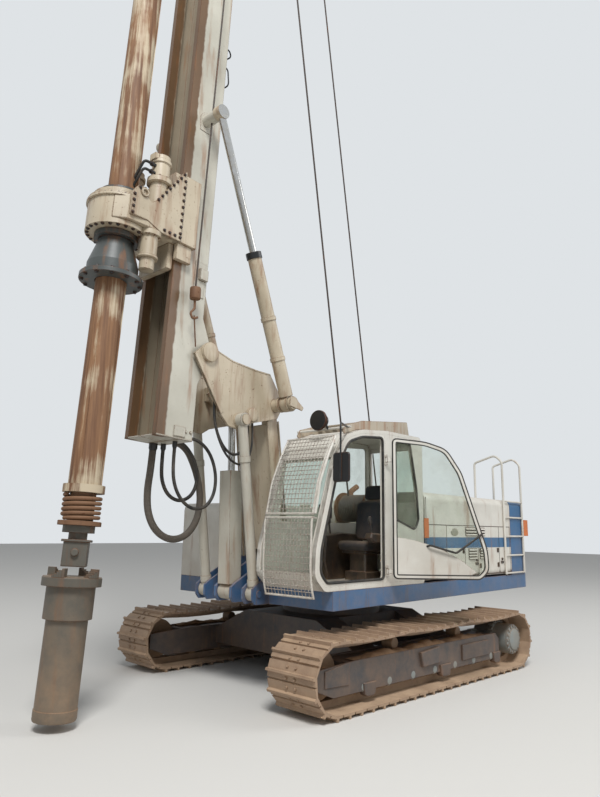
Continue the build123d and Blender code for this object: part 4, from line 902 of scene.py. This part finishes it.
half_mast = 0.300
details = both(((2.865, 2.862), (3.370, 2.862), (3.370, 2.880), (2.865, 2.880)), 0.02, half_mast + 0.006)
details += both(((2.980, 2.890), (3.140, 2.890), (3.140, 3.010), (2.980, 3.010)), half_mast - 0.002, 0.316)
details += both(((2.880, 4.820), (3.000, 4.820), (3.000, 4.960), (2.880, 4.960)), half_mast - 0.002, 0.345)
eye = np.linspace(-0.5 * np.pi, 0.5 * np.pi, 15)
pad = np.column_stack([3.105 + 0.10 * np.sin(eye), 6.936 + 0.13 * np.cos(eye)])
pad = np.vstack([pad, [(3.190, 6.790), (3.020, 6.790)]])
details += both(pad, half_mast - 0.002, half_mast + 0.006, 0.002)
for height in (9.300, 13.200):
    top = height + 0.036
    details += both(((2.868, height), (3.245, height), (3.245, top), (2.868, top)), 0.29, 0.310)
for side in (1, -1):
    for height in (2.96, 9.28, 13.18):
        for x in np.linspace(2.90, 3.10, 4):
            details += bolts((x, side * half_mast, height), (0, side, 0), 0.026, 0.014)
plate_low = np.array(((2.900, 4.60), (3.060, 4.60), (3.060, 5.05), (2.900, 5.05)))
details += both(plate_low, half_mast - 0.002, 0.309)
mast_piece("mast_fittings", details, mast_enamel)
wires = []
for height, drop in ((8.15, 0.22), (8.45, 0.05)):
    hoop = bend([(2.870, 0.05, height), (2.640, 0.05, height + 0.03), (2.600, 0.05, height - drop),
                 (2.640, -0.20, height - drop), (2.870, -0.20, height - 0.05)], 0.06, False)
    wires.append(tube(hoop, 0.010))
mast_piece("mast_rear_hoops", wires, black_enamel, "mast")
gland = ((0.062, 0), (0.072, 0.004), (0.072, 0.068), (0.064, 0.074))
crowd_x, crowd_y = 3.160, 0.110
upright = (0, 0, 1)
mast_piece("crowd_gland", [turned(gland, (crowd_x, crowd_y, 6.945), upright, 32)], black_enamel, "mast")

# Rotary drive: a faceted gearbox between two bolted side plates on a carriage that runs on the mast's rails.
# Two stepped hydraulic motors stand on it and one hangs below; a drum carries the kelly's drive.
kelly_x = 3.967
gear_low, gear_high = 5.125, 5.430
plan = [(3.378, 0.400), (3.830, 0.400), (4.085, 0.372), (4.205, 0.270)]
plan = plan + [(x, -y) for x, y in plan[::-1]]
head = [slab(plan, gear_low, gear_high, "z", 0.008)]
kelly_foot = (kelly_x, 0, 0)
drum = ((0.352, 5.065), (0.352, 5.395), (0.374, 5.397), (0.374, 5.425), (0.362, 5.430), (0.362, 5.452),
        (0.312, 5.455), (0.312, 5.520), (0.205, 5.522), (0.205, 5.065))
head.append(turned(drum, kelly_foot, upright, 72, True))
cheek = [(4.070, 0.060), (4.070, 0.320), (4.010, 0.430), (3.940, 0.440), (3.827, 0.300), (3.770, 0.345),
         (3.400, 0.895), (3.380, 0.910), (3.380, 0.0), (3.660, 0.0), (3.850, 0.070)]
cheek = bend(np.array(cheek) + (0, gear_low), (0.02, 0.02, 0.04, 0.04, 0.05, 0.05, 0.02, 0, 0, 0.03, 0.03))
head += both(cheek, 0.354, 0.408)
head += [box((3.378, -0.280, 4.810), (3.455, 0.280, 6.055), 0.006)]
head += both(((3.150, gear_low), (3.438, gear_low), (3.438, 5.990), (3.150, 5.990)), 0.308, 0.400)
head += both(((3.185, 4.925), (3.398, 4.925), (3.398, 5.126), (3.185, 5.126)), 0.308, 0.370)
eye_ring = ((0.052, 0.400), (0.052, 0.424), (0.046, 0.428), (0.030, 0.428), (0.027, 0.400))
head += [turned(eye_ring, (3.925, 0, 5.500), (0, side, 0), 32, True) for side in (1, -1)]
mast_piece("rotary_housing", head, linkage, "rotary", ("rotary_head",))
motor_x, motor_y = 3.660, 0.265
downward = (0, 0, -1)
upper_line = []
for low, high, radius in (
    (-0.001, 0.270, 0.118), (0.265, 0.335, 0.108), (0.330, 0.400, 0.146),
    (0.399, 0.590, 0.106), (0.589, 0.640, 0.120), (0.639, 0.700, 0.102),
):
    upper_line += [(radius, low + 0.005), (radius, high - 0.005)]
motors = []
for y in (motor_y, -motor_y):
    motors.append(turned(upper_line, (motor_x, y, gear_high), upright, 40))
    motors.append(box((3.620, y - 0.060, gear_high + 0.62), (3.790, y + 0.060, gear_high + 0.70), 0.006))
    motors += screws((motor_x, y, gear_high + 0.399), upright, 0.128, 10, 0.022, 0.014)
lower_line = ((0.126, 0.0), (0.126, 0.06), (0.098, 0.062), (0.098, 0.298), (0.116, 0.300), (0.116, 0.328),
              (0.084, 0.332), (0.084, 0.465))
motors.append(turned(lower_line, (3.730, 0.300, gear_low), downward, 40))
motors += screws((3.730, 0.300, gear_low - 0.060), downward, 0.112, 8, 0.022, 0.012)
mast_piece("rotary_motors", motors, linkage, "rotary")
heads = []
for start, end, number in (((4.070, 5.21), (4.070, 5.43), 4), ((4.010, 5.535), (3.950, 5.545), 2),
                           ((3.760, 5.50), (3.440, 5.98), 8), ((3.420, 5.17), (3.640, 5.17), 4),
                           ((3.420, 5.22), (3.420, 5.90), 9)):
    share = np.linspace(0, 1, number)[:, None]
    run = np.array(start) * (1 - share) + np.array(end) * share - (0.022, 0)
    for side in (1, -1):
        heads += bolts(laid(run, side * 0.408, "y"), (0, side, 0), 0.028, 0.018)
heads += screws((kelly_x, 0, 5.397 + 0.027), upright, 0.350, 30, 0.026, 0.018)
heads += screws((kelly_x, 0, 5.066), downward, 0.325, 24, 0.030, 0.018)
port = ((0.022, 0), (0.022, 0.035), (0.028, 0.036), (0.028, 0.060), (0.018, 0.062))
for y in (motor_y, -motor_y):
    for z in (gear_high + 0.44, gear_high + 0.54):
        heads.append(turned(port, (3.760, y + 0.03, z), (1, 0, 0), 16))
mast_piece("rotary_bolts", heads, black_enamel, "rotary")
feeds = []
for y in (motor_y, -motor_y):
    for z in (5.87, 5.97):
        route = [(3.82, y + 0.03, z), (3.91, y + 0.03, z), (3.93, y * 0.55, z - 0.20),
                 (3.80, y * 0.30, z - 0.36), (3.60, y * 0.25, gear_high + 0.012)]
        feeds.append(tube(bend(route, 0.10, False), 0.016))
mast_piece("rotary_feed_hoses", feeds, rubber, "rotary")
rod = turned(((0.034, 5.95), (0.034, 9.400)), (crowd_x, crowd_y, 0), upright, 32)
mast_piece("crowd_rod", [rod], chrome, "rotary")
ring = screws((kelly_x, 0, 4.553), upright, 0.315, 12, 0.034, 0.022)
ring += screws((kelly_x, 0, 4.505), downward, 0.315, 12, 0.034, 0.022)
collar = ((0.202, 4.985), (0.202, 5.035), (0.186, 5.036), (0.186, 4.985))
ring.append(turned(collar, kelly_foot, upright, 48, True))
mast_piece("sleeve_bolts", ring, black_enamel, "sleeve")

# Kelly bar: a rusty tube rubbed pale in streaks that run along its leaned axis, over a coil spring and a
# coring bucket. The streaks are about 60 mm wide and over a metre long; the steel's grit is drawn at 17 mm,
# coarser than the real one, so that it shows.
kelly_steel, tree = blank("worn_kelly_steel")
place = add(tree, "TexCoord").outputs["Object"]
stretched = add(tree, "Mapping", {"Vector": place, "Rotation": (0.0, lean, 0.0), "Scale": (16.0, 16.0, 0.7)})
run = add(tree, "TexNoise", {"Vector": stretched, "Scale": 1.0, "Detail": 7.0, "Roughness": 0.65})
wide = add(tree, "TexNoise", {"Vector": place, "Scale": 1.6, "Detail": 5.0})
both_noises = add(tree, "Math", {0: run, 1: wide}, operation="ADD")
pale = add(tree, "MapRange", {0: both_noises, 1: 0.99, 2: 1.17, 3: 0.0, 4: 0.95})
tone = add(tree, "ValToRGB", {"Fac": run})
for index, position, colour in ((0, 0.30, "#5a3a26"), (1, 0.72, "#9a7350")):
    tone.color_ramp.elements[index].position = position
    tone.color_ramp.elements[index].color = linear(colour)
rubbed = add(tree, "MixRGB", {"Fac": pale, "Color1": tone, "Color2": linear("#c0b299")})
grit = add(tree, "TexNoise", {"Vector": place, "Scale": 60.0, "Detail": 5.0, "Roughness": 0.7})
bump = add(tree, "Bump", {"Height": grit, "Strength": 0.35, "Distance": 0.003})
shade = add(tree, "BsdfPrincipled", {"Base Color": rubbed, "Roughness": 0.66, "Normal": bump})
add(tree, "OutputMaterial", {"Surface": shade})
dress(kelly_steel, "kelly_tube")
turns = np.linspace(0, 5 * 2 * np.pi, 200)
coil = np.column_stack([
    kelly_x + 0.178 * np.cos(turns), 0.178 * np.sin(turns), 1.906 + 0.240 * turns / turns[-1]])
spring = [tube(coil, 0.020, 12),
          turned(((0.215, 1.839), (0.215, 1.880), (0.209, 1.884)), kelly_foot, upright, 64),
          turned(((0.130, 1.883), (0.130, 2.170)), kelly_foot, upright, 40)]
mast_piece("kelly_coil_spring", spring, rusty, "kelly", ("kelly_spring",))
# The bucket's steel is a dull grey-brown, rubbed by the ground and rusting again.
bucket_steel = painted_steel("bucket_steel", "#5b5850", rust=0.6, dust=0.35, streak="#6b4a33", gloss=0.6,
                             settles=2.2)
head_turn = math.radians(55)
square = head_turn + np.array([0.25, 0.75, 1.25, 1.75]) * np.pi
corner = np.column_stack([np.cos(square), np.sin(square)]) * math.sqrt(2)
flat = np.array((kelly_x, 0.0))
neck = ((0.092, 1.700), (0.092, 1.767), (0.158, 1.768), (0.158, 1.838))
bucket = ((0.200, 0.020), (0.206, 0.035), (0.206, 0.120), (0.200, 0.125), (0.200, 0.930), (0.235, 0.939),
          (0.235, 1.246), (0.288, 1.250), (0.288, 1.330), (0.280, 1.340), (0.150, 1.342))
tool = [slab(flat + 0.118 * corner, 1.436, 1.701, "z", 0.006),
        slab(flat + 0.140 * corner, 1.677, 1.701, "z", 0.004),
        turned(neck, kelly_foot, upright, 48), turned(bucket, kelly_foot, upright, 64)]
for start in (20, 95, 200, 275):
    for tooth in range(5):
        angle = math.radians(start + tooth * 22 / 4)
        spot = np.array((math.cos(angle), math.sin(angle)))
        beside = np.array((-spot[1], spot[0]))
        block = [flat + 0.200 * spot - 0.011 * beside, flat + 0.286 * spot - 0.013 * beside,
                 flat + 0.286 * spot + 0.013 * beside, flat + 0.200 * spot + 0.011 * beside]
        tool.append(slab(np.array(block), 1.335, 1.358 + 0.016 * tooth, "z", 0.002))
axis = (math.cos(head_turn), math.sin(head_turn), 0)
tool.append(turned(((0.038, -0.150), (0.038, 0.150), (0.030, 0.156)), (kelly_x, 0, 1.575), axis, 24))
mast_piece("coring_bucket", tool, bucket_steel, "kelly", ("kelly_tool",))

# Linkage: bracket with welded flanges and keepers, arm with edge bars, clamps and glands on the cylinders.
# Flanges and bars are cut plates; caps, clamps, glands and eyes are turned, and stand round their pins and
# rods. Places are in the XZ plane, at the linkage's own pins.
flange = [(3.000, 3.900), (2.560, 3.240), (2.518, 3.262), (2.950, 3.915)]
top_flange = [(2.670, 4.010), (2.390, 3.927), (2.000, 3.889), (1.740, 3.882), (1.740, 3.862), (2.000, 3.869),
              (2.394, 3.907), (2.670, 3.990)]
keeper = [(1.600, 3.540), (1.700, 3.560), (1.715, 3.430), (1.480, 3.395), (1.452, 3.440)]
bracket = both(flange, 0.326, 0.366) + both(top_flange, 0.300, 0.366, 0.002) + both(keeper, 0.688, 0.702)
cross_cap = ((0.102, 0.455), (0.102, 0.492), (0.094, 0.494))
hinge_cap = ((0.112, 0.360), (0.118, 0.364), (0.118, 0.400), (0.108, 0.404), (0.050, 0.406))
pin_cap = ((0.088, 0.360), (0.088, 0.390), (0.080, 0.394), (0.040, 0.396))
arm_foot, arm_head = (1.350, 1.427), (1.630, 3.480)
tie_foot, tie_head = (1.990, 1.147), (2.270, 3.200)
lift_head = (2.050, 3.300)
for line, sides, pins in (
    (cross_cap, 36, (arm_head,)), (hinge_cap, 40, (mast_hinge,)), (pin_cap, 36, (tie_head, lift_head)),
):
    bracket += [turned(line, (x, 0, z), (0, side, 0), sides) for side in (1, -1) for x, z in pins]
build("bracket_flanges", bracket, linkage, "bracket")
arm_low, arm_high = np.array(arm_foot), np.array(arm_head)
arm_line = (arm_high - arm_low) / np.linalg.norm(arm_high - arm_low)
arm_side = np.array((arm_line[1], -arm_line[0]))


def rod_fittings(low, high, y, pieces):
    """Turned collars on a rod or cylinder: each stands round the line between its eyes, from one distance
    along it to another, with a radius, a wall of 16 mm and edges broken by 3 mm."""
    low, high = np.array((low[0], y, low[1])), np.array((high[0], y, high[1]))
    wall, edge = 0.016, 0.003
    made = []
    for radius, start, end in pieces:
        line = ((radius - wall, start), (radius - edge, start), (radius, start + edge),
                (radius, end - edge), (radius - edge, end), (radius - wall, end))
        made.append(turned(line, low, (high - low) / np.linalg.norm(high - low), 36, True))
    return made


half_arm = 0.118
across = arm_side * 0.010
arm_bars = []
for side in (1, -1):
    for edge in (1, -1):
        bar_low = arm_low + arm_side * (edge * half_arm) + arm_line * 0.15
        bar_high = arm_high + arm_side * (edge * half_arm * 0.85) - arm_line * 0.20
        outline = [bar_low - across, bar_low + across, bar_high + across, bar_high - across]
        arm_bars.append(slab(np.array(outline), side * 0.286, side * 0.304, "y", 0.002))
build("arm_edge_bars", arm_bars, linkage, "arm")
luff_head = tuple(leaned_point(3.105, 6.936)[[0, 2]])
luff_y, tie_y = 0.585, 0.430
clamps, glands, eyes, ends = [], [], [], []
rod_eye = ((0.050, 0.530), (0.0885, 0.530), (0.0885, 0.639), (0.080, 0.6395), (0.050, 0.6395))
for side in (1, -1):
    clamps += rod_fittings(arm_head, luff_head, side * luff_y, ((0.098, 0.560, 0.610), (0.098, 1.080, 1.130)))
    glands += rod_fittings(arm_head, luff_head, side * luff_y, ((0.100, 1.875, 1.958),))
    eyes.append(turned(rod_eye, (luff_head[0], 0, luff_head[1]), (0, side, 0), 36, True))
    ends += rod_fittings(tie_foot, tie_head, side * tie_y, ((0.069, 0.088, 0.168), (0.069, 1.550, 1.630)))
build("luff_clamps", clamps, linkage, "luff_barrels")
build("luff_rod_eyes", eyes, linkage, "luff_rods")
build("luff_glands", glands, black_enamel, "luff_barrels")
collars = rod_fittings(tie_foot, lift_head, 0.0, ((0.090, 1.400, 1.470),))
build("lift_gland", collars, black_enamel, "lift_barrel")
build("tie_rod_clamps", ends, mast_enamel, "tie_rods")

# Hydraulic hoses: three hang in loops from the mast's foot to its rear, and two hang under the bracket.
# Black rubber, one in a grey wrap; each is one free cord on a given route, and ferrules and two
# manifold blocks hold the ends.

# Hose rubber: dull black under grey-brown dust; its cloth print is drawn at 4 mm, coarser than the real.
hose_rubber, tree = blank("hose_rubber")
place = add(tree, "TexCoord").outputs["Object"]
dust_noise = add(tree, "TexNoise", {"Vector": place, "Scale": 6.0, "Detail": 7.0, "Roughness": 0.7})
dust = add(tree, "MapRange", {0: dust_noise, 1: 0.4, 2: 0.75, 3: 0.0, 4: 0.6})
tone = add(tree, "MixRGB", {"Fac": dust, "Color1": linear("#1a1a1a"), "Color2": linear("#6a6054")})
weave = add(tree, "TexNoise", {"Vector": place, "Scale": 240.0, "Detail": 2.0})
bump = add(tree, "Bump", {"Height": weave, "Strength": 0.3, "Distance": 0.001})
shade = add(tree, "BsdfPrincipled", {"Base Color": tone, "Roughness": 0.6, "Normal": bump})
add(tree, "OutputMaterial", {"Surface": shade})
# The wrap is a matt grey plastic spiral, soiled brown; its ribs are drawn as relief.
wrap, tree = blank("grey_ribbed_wrap")
place = add(tree, "TexCoord").outputs["Object"]
ribs = add(tree, "TexWave", {"Vector": place, "Scale": 22.0, "Distortion": 1.5, "Detail": 2.0},
           bands_direction="Z")
soil = add(tree, "TexNoise", {"Vector": place, "Scale": 5.0, "Detail": 8.0, "Roughness": 0.7})
tone = add(tree, "MixRGB", {"Fac": soil, "Color1": linear("#4d4b48"), "Color2": linear("#6a5e50")})
bump = add(tree, "Bump", {"Height": ribs, "Strength": 0.7, "Distance": 0.006})
shade = add(tree, "BsdfPrincipled", {"Base Color": tone, "Roughness": 0.7, "Normal": bump})
add(tree, "OutputMaterial", {"Surface": shade})
cheek_y = 0.322
# Name, body, material, radius, y, length, and the route's points as (x, z).
hoses = (
    ("mast_hose_wrapped", "mast", wrap, 0.042, -0.24, 3.015, (
        (3.010, 2.845), (3.010, 2.560), (3.030, 2.300), (2.990, 2.040), (2.850, 1.840), (2.620, 1.750),
        (2.390, 1.820), (2.250, 2.020), (2.225, 2.270), (2.280, 2.490), (2.385, 2.700), (2.520, 2.880),
        (2.710, 2.940), (2.850, 2.940))),
    ("mast_hose_right", "mast", hose_rubber, 0.022, -0.15, 1.898, (
        (2.930, 2.845), (2.930, 2.600), (2.900, 2.410), (2.790, 2.260), (2.620, 2.210), (2.460, 2.280),
        (2.380, 2.430), (2.390, 2.610), (2.470, 2.770), (2.600, 2.880), (2.740, 2.930), (2.850, 2.930))),
    ("mast_hose_left", "mast", hose_rubber, 0.020, 0.15, 2.189, (
        (2.990, 2.845), (2.990, 2.580), (2.950, 2.370), (2.830, 2.200), (2.650, 2.110), (2.460, 2.150),
        (2.350, 2.300), (2.330, 2.490), (2.380, 2.670), (2.480, 2.820), (2.620, 2.910), (2.750, 2.930),
        (2.850, 2.930))),
    ("bracket_hose_inner", "bracket", hose_rubber, 0.017, 0.25, 1.972, (
        (2.290, 3.600), (2.400, 3.600), (2.500, 3.540), (2.560, 3.420), (2.570, 3.270), (2.540, 3.110),
        (2.470, 2.960), (2.370, 2.840), (2.240, 2.780), (2.110, 2.820), (2.030, 2.930), (2.000, 3.070),
        (2.010, 3.220), (2.040, 3.350), (2.040, 3.480))),
    ("bracket_hose_outer", "bracket", hose_rubber, 0.014, 0.30, 2.292, (
        (2.290, 3.640), (2.420, 3.640), (2.540, 3.570), (2.610, 3.440), (2.620, 3.280), (2.590, 3.110),
        (2.520, 2.940), (2.420, 2.790), (2.290, 2.690), (2.140, 2.660), (2.030, 2.740), (1.980, 2.870),
        (1.965, 3.020), (1.972, 3.180), (1.990, 3.345), (1.990, 3.480))),
)
ferrules = {"mast": [], "bracket": []}
for name, body, material, radius, y, length, route in hoses:
    points = np.array([(x, y, z) for x, z in route])
    if body == "mast":
        points = leaned((points, []))[0]
    else:
        points[[0, -1], 1] = cheek_y
    curve = bpy.data.curves.new(name, "CURVE")
    curve.dimensions = "3D"
    curve.bevel_depth = radius
    curve.bevel_resolution = 4
    curve.use_fill_caps = True
    spline = curve.splines.new("NURBS")
    spline.points.add(len(points) - 1)
    for point, here in zip(spline.points, points):
        point.co = (*here, 1.0)
    spline.order_u = 3
    spline.use_endpoint_u = True
    spline.resolution_u = 8
    curve.materials.append(material)
    hose = bpy.data.objects.new(name, curve)
    bpy.context.collection.objects.link(hose)
    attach(hose, body)
    for end, beside in ((points[0], points[1]), (points[-1], points[-2])):
        out = (beside - end) / np.linalg.norm(beside - end)
        ferrule = ((radius + 0.004, -0.02), (radius + 0.010, -0.015), (radius + 0.010, 0.045),
                   (radius + 0.004, 0.055), (radius, 0.075))
        ferrules[body].append(turned(ferrule, end, out, 16))
ferrules["mast"] += [leaned(box((2.845, -0.300, 2.870), (2.870, 0.220, 3.000), 0.004))]
ferrules["bracket"] += [box((1.950, 0.235, 3.520), (2.240, 0.332, 3.700), 0.006)]
for body, shells in ferrules.items():
    build(f"{body}_hose_ferrules", shells, black_enamel, body)

# Hoist ropes: taut steel wire from the two winch drums over the head sheaves to the kelly and the hook.
# Each drum carries its rope's turns as grooved bands. A round weight and a hook hang on the auxiliary rope,
# and the hook is tied back to the mast.

# Greased wire looks nearly black and a little glossy.
wire_rope = painted_steel("greased_wire_rope", "#3a3733", rust=0.3, dust=0.3, gloss=0.5)
kelly_top = leaned_point(kelly_x, 12.80)
front_sheave, rear_sheave, aux_sheave = (
    0.5 * (np.array(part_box(name)[0]) + np.array(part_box(name)[1]))
    for name in ("sheave_front", "sheave_rear", "sheave_aux"))
head_reach = 0.285
ropes = [
    tube([(-0.399, 0.0, 2.420), rear_sheave - (head_reach * 0.99, 0, -0.03)], 0.014, 8),
    tube([rear_sheave + (0, 0, head_reach), front_sheave + (0, 0, head_reach)], 0.014, 8),
    tube([(-1.175, 0.0, 2.420), aux_sheave - (head_reach * 0.80, 0, -0.03)], 0.012, 8),
    tube([front_sheave + (head_reach * 0.99, 0, 0), (kelly_top[0], 0, kelly_top[2])], 0.014, 8)]
hook_top = np.array((3.078, 0.42, 4.67))
ropes.append(tube([aux_sheave + (head_reach * 0.80, 0, 0), hook_top], 0.011, 8))
build("hoist_ropes", ropes, wire_rope, "mast")
ball = ((0.030, -0.08), (0.060, -0.07), (0.065, -0.05), (0.065, 0.05), (0.060, 0.07), (0.030, 0.08))
weight = [turned(ball, hook_top - (0, 0, 0.08), upright, 32)]
hook = [(0, 0, -0.16), (0, 0, -0.27), (0.06, 0, -0.33), (0.02, 0, -0.40), (-0.05, 0, -0.36)]
hook = bend(hook, 0.04, False)
weight.append(tube(hook_top + hook, 0.014))
weight.append(tube([hook_top + (0, 0, -0.35), (3.020, 0.400, 3.960)], 0.008, 8))
build("hook_and_weight", weight, rusty, "mast")
wound = np.linspace(-0.235, 0.235, 141)
steps_per_turn = 10
for name, body in (("main_winch_drum", "main_winch"), ("aux_winch_drum", "aux_winch")):
    low, high = (np.array(corner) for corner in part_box(name))
    middle = 0.5 * (low + high)
    core = 0.5 * (high[2] - low[2]) - 0.052
    line = [(core + 0.012 * abs(math.sin(step * math.pi / steps_per_turn)), y)
            for step, y in enumerate(wound)]
    build(f"{body}_rope_turns", [turned(line, middle, (0, 1, 0), 64)], wire_rope, body)

# Ladder and exhaust: painted tube stiles with looped rails and round rungs, tied to the house's side, and
# a bent rusty pipe in a sleeve that stands on the house's roof beside the hood.
stiles = (-2.540, -3.230)
rungs = []
for x in stiles:
    stile = bend([(x, 1.486, 1.257), (x, 1.486, 3.05), (x, 1.369, 3.16), (x, 1.000, 3.05), (x, 1.000, 2.434)],
                 (0, 0.12, 0.12, 0.06, 0), False)
    rungs.append(tube(stile + (0, 0.036, 0), 0.018))
rungs += [tube([(x, 1.522, z) for x in stiles], 0.014) for z in (1.275, 1.550, 1.850, 2.150, 2.410)]
rungs += [tube([(x, 1.500, z), (x, 1.524, z)], 0.012) for x in stiles for z in (1.610, 2.210)]
build("ladder", rungs, cream, "upper")
pipe = bend([(-1.990, -1.174, 2.24), (-1.990, -1.174, 2.60), (-2.180, -1.174, 2.70)], 0.08, False)
sleeve = ((0.062, 2.24), (0.062, 2.52), (0.052, 2.525))
build("exhaust", [tube(pipe, 0.050, 24), turned(sleeve, (-1.990, -1.174, 0), upright, 32)], rusty, "upper")
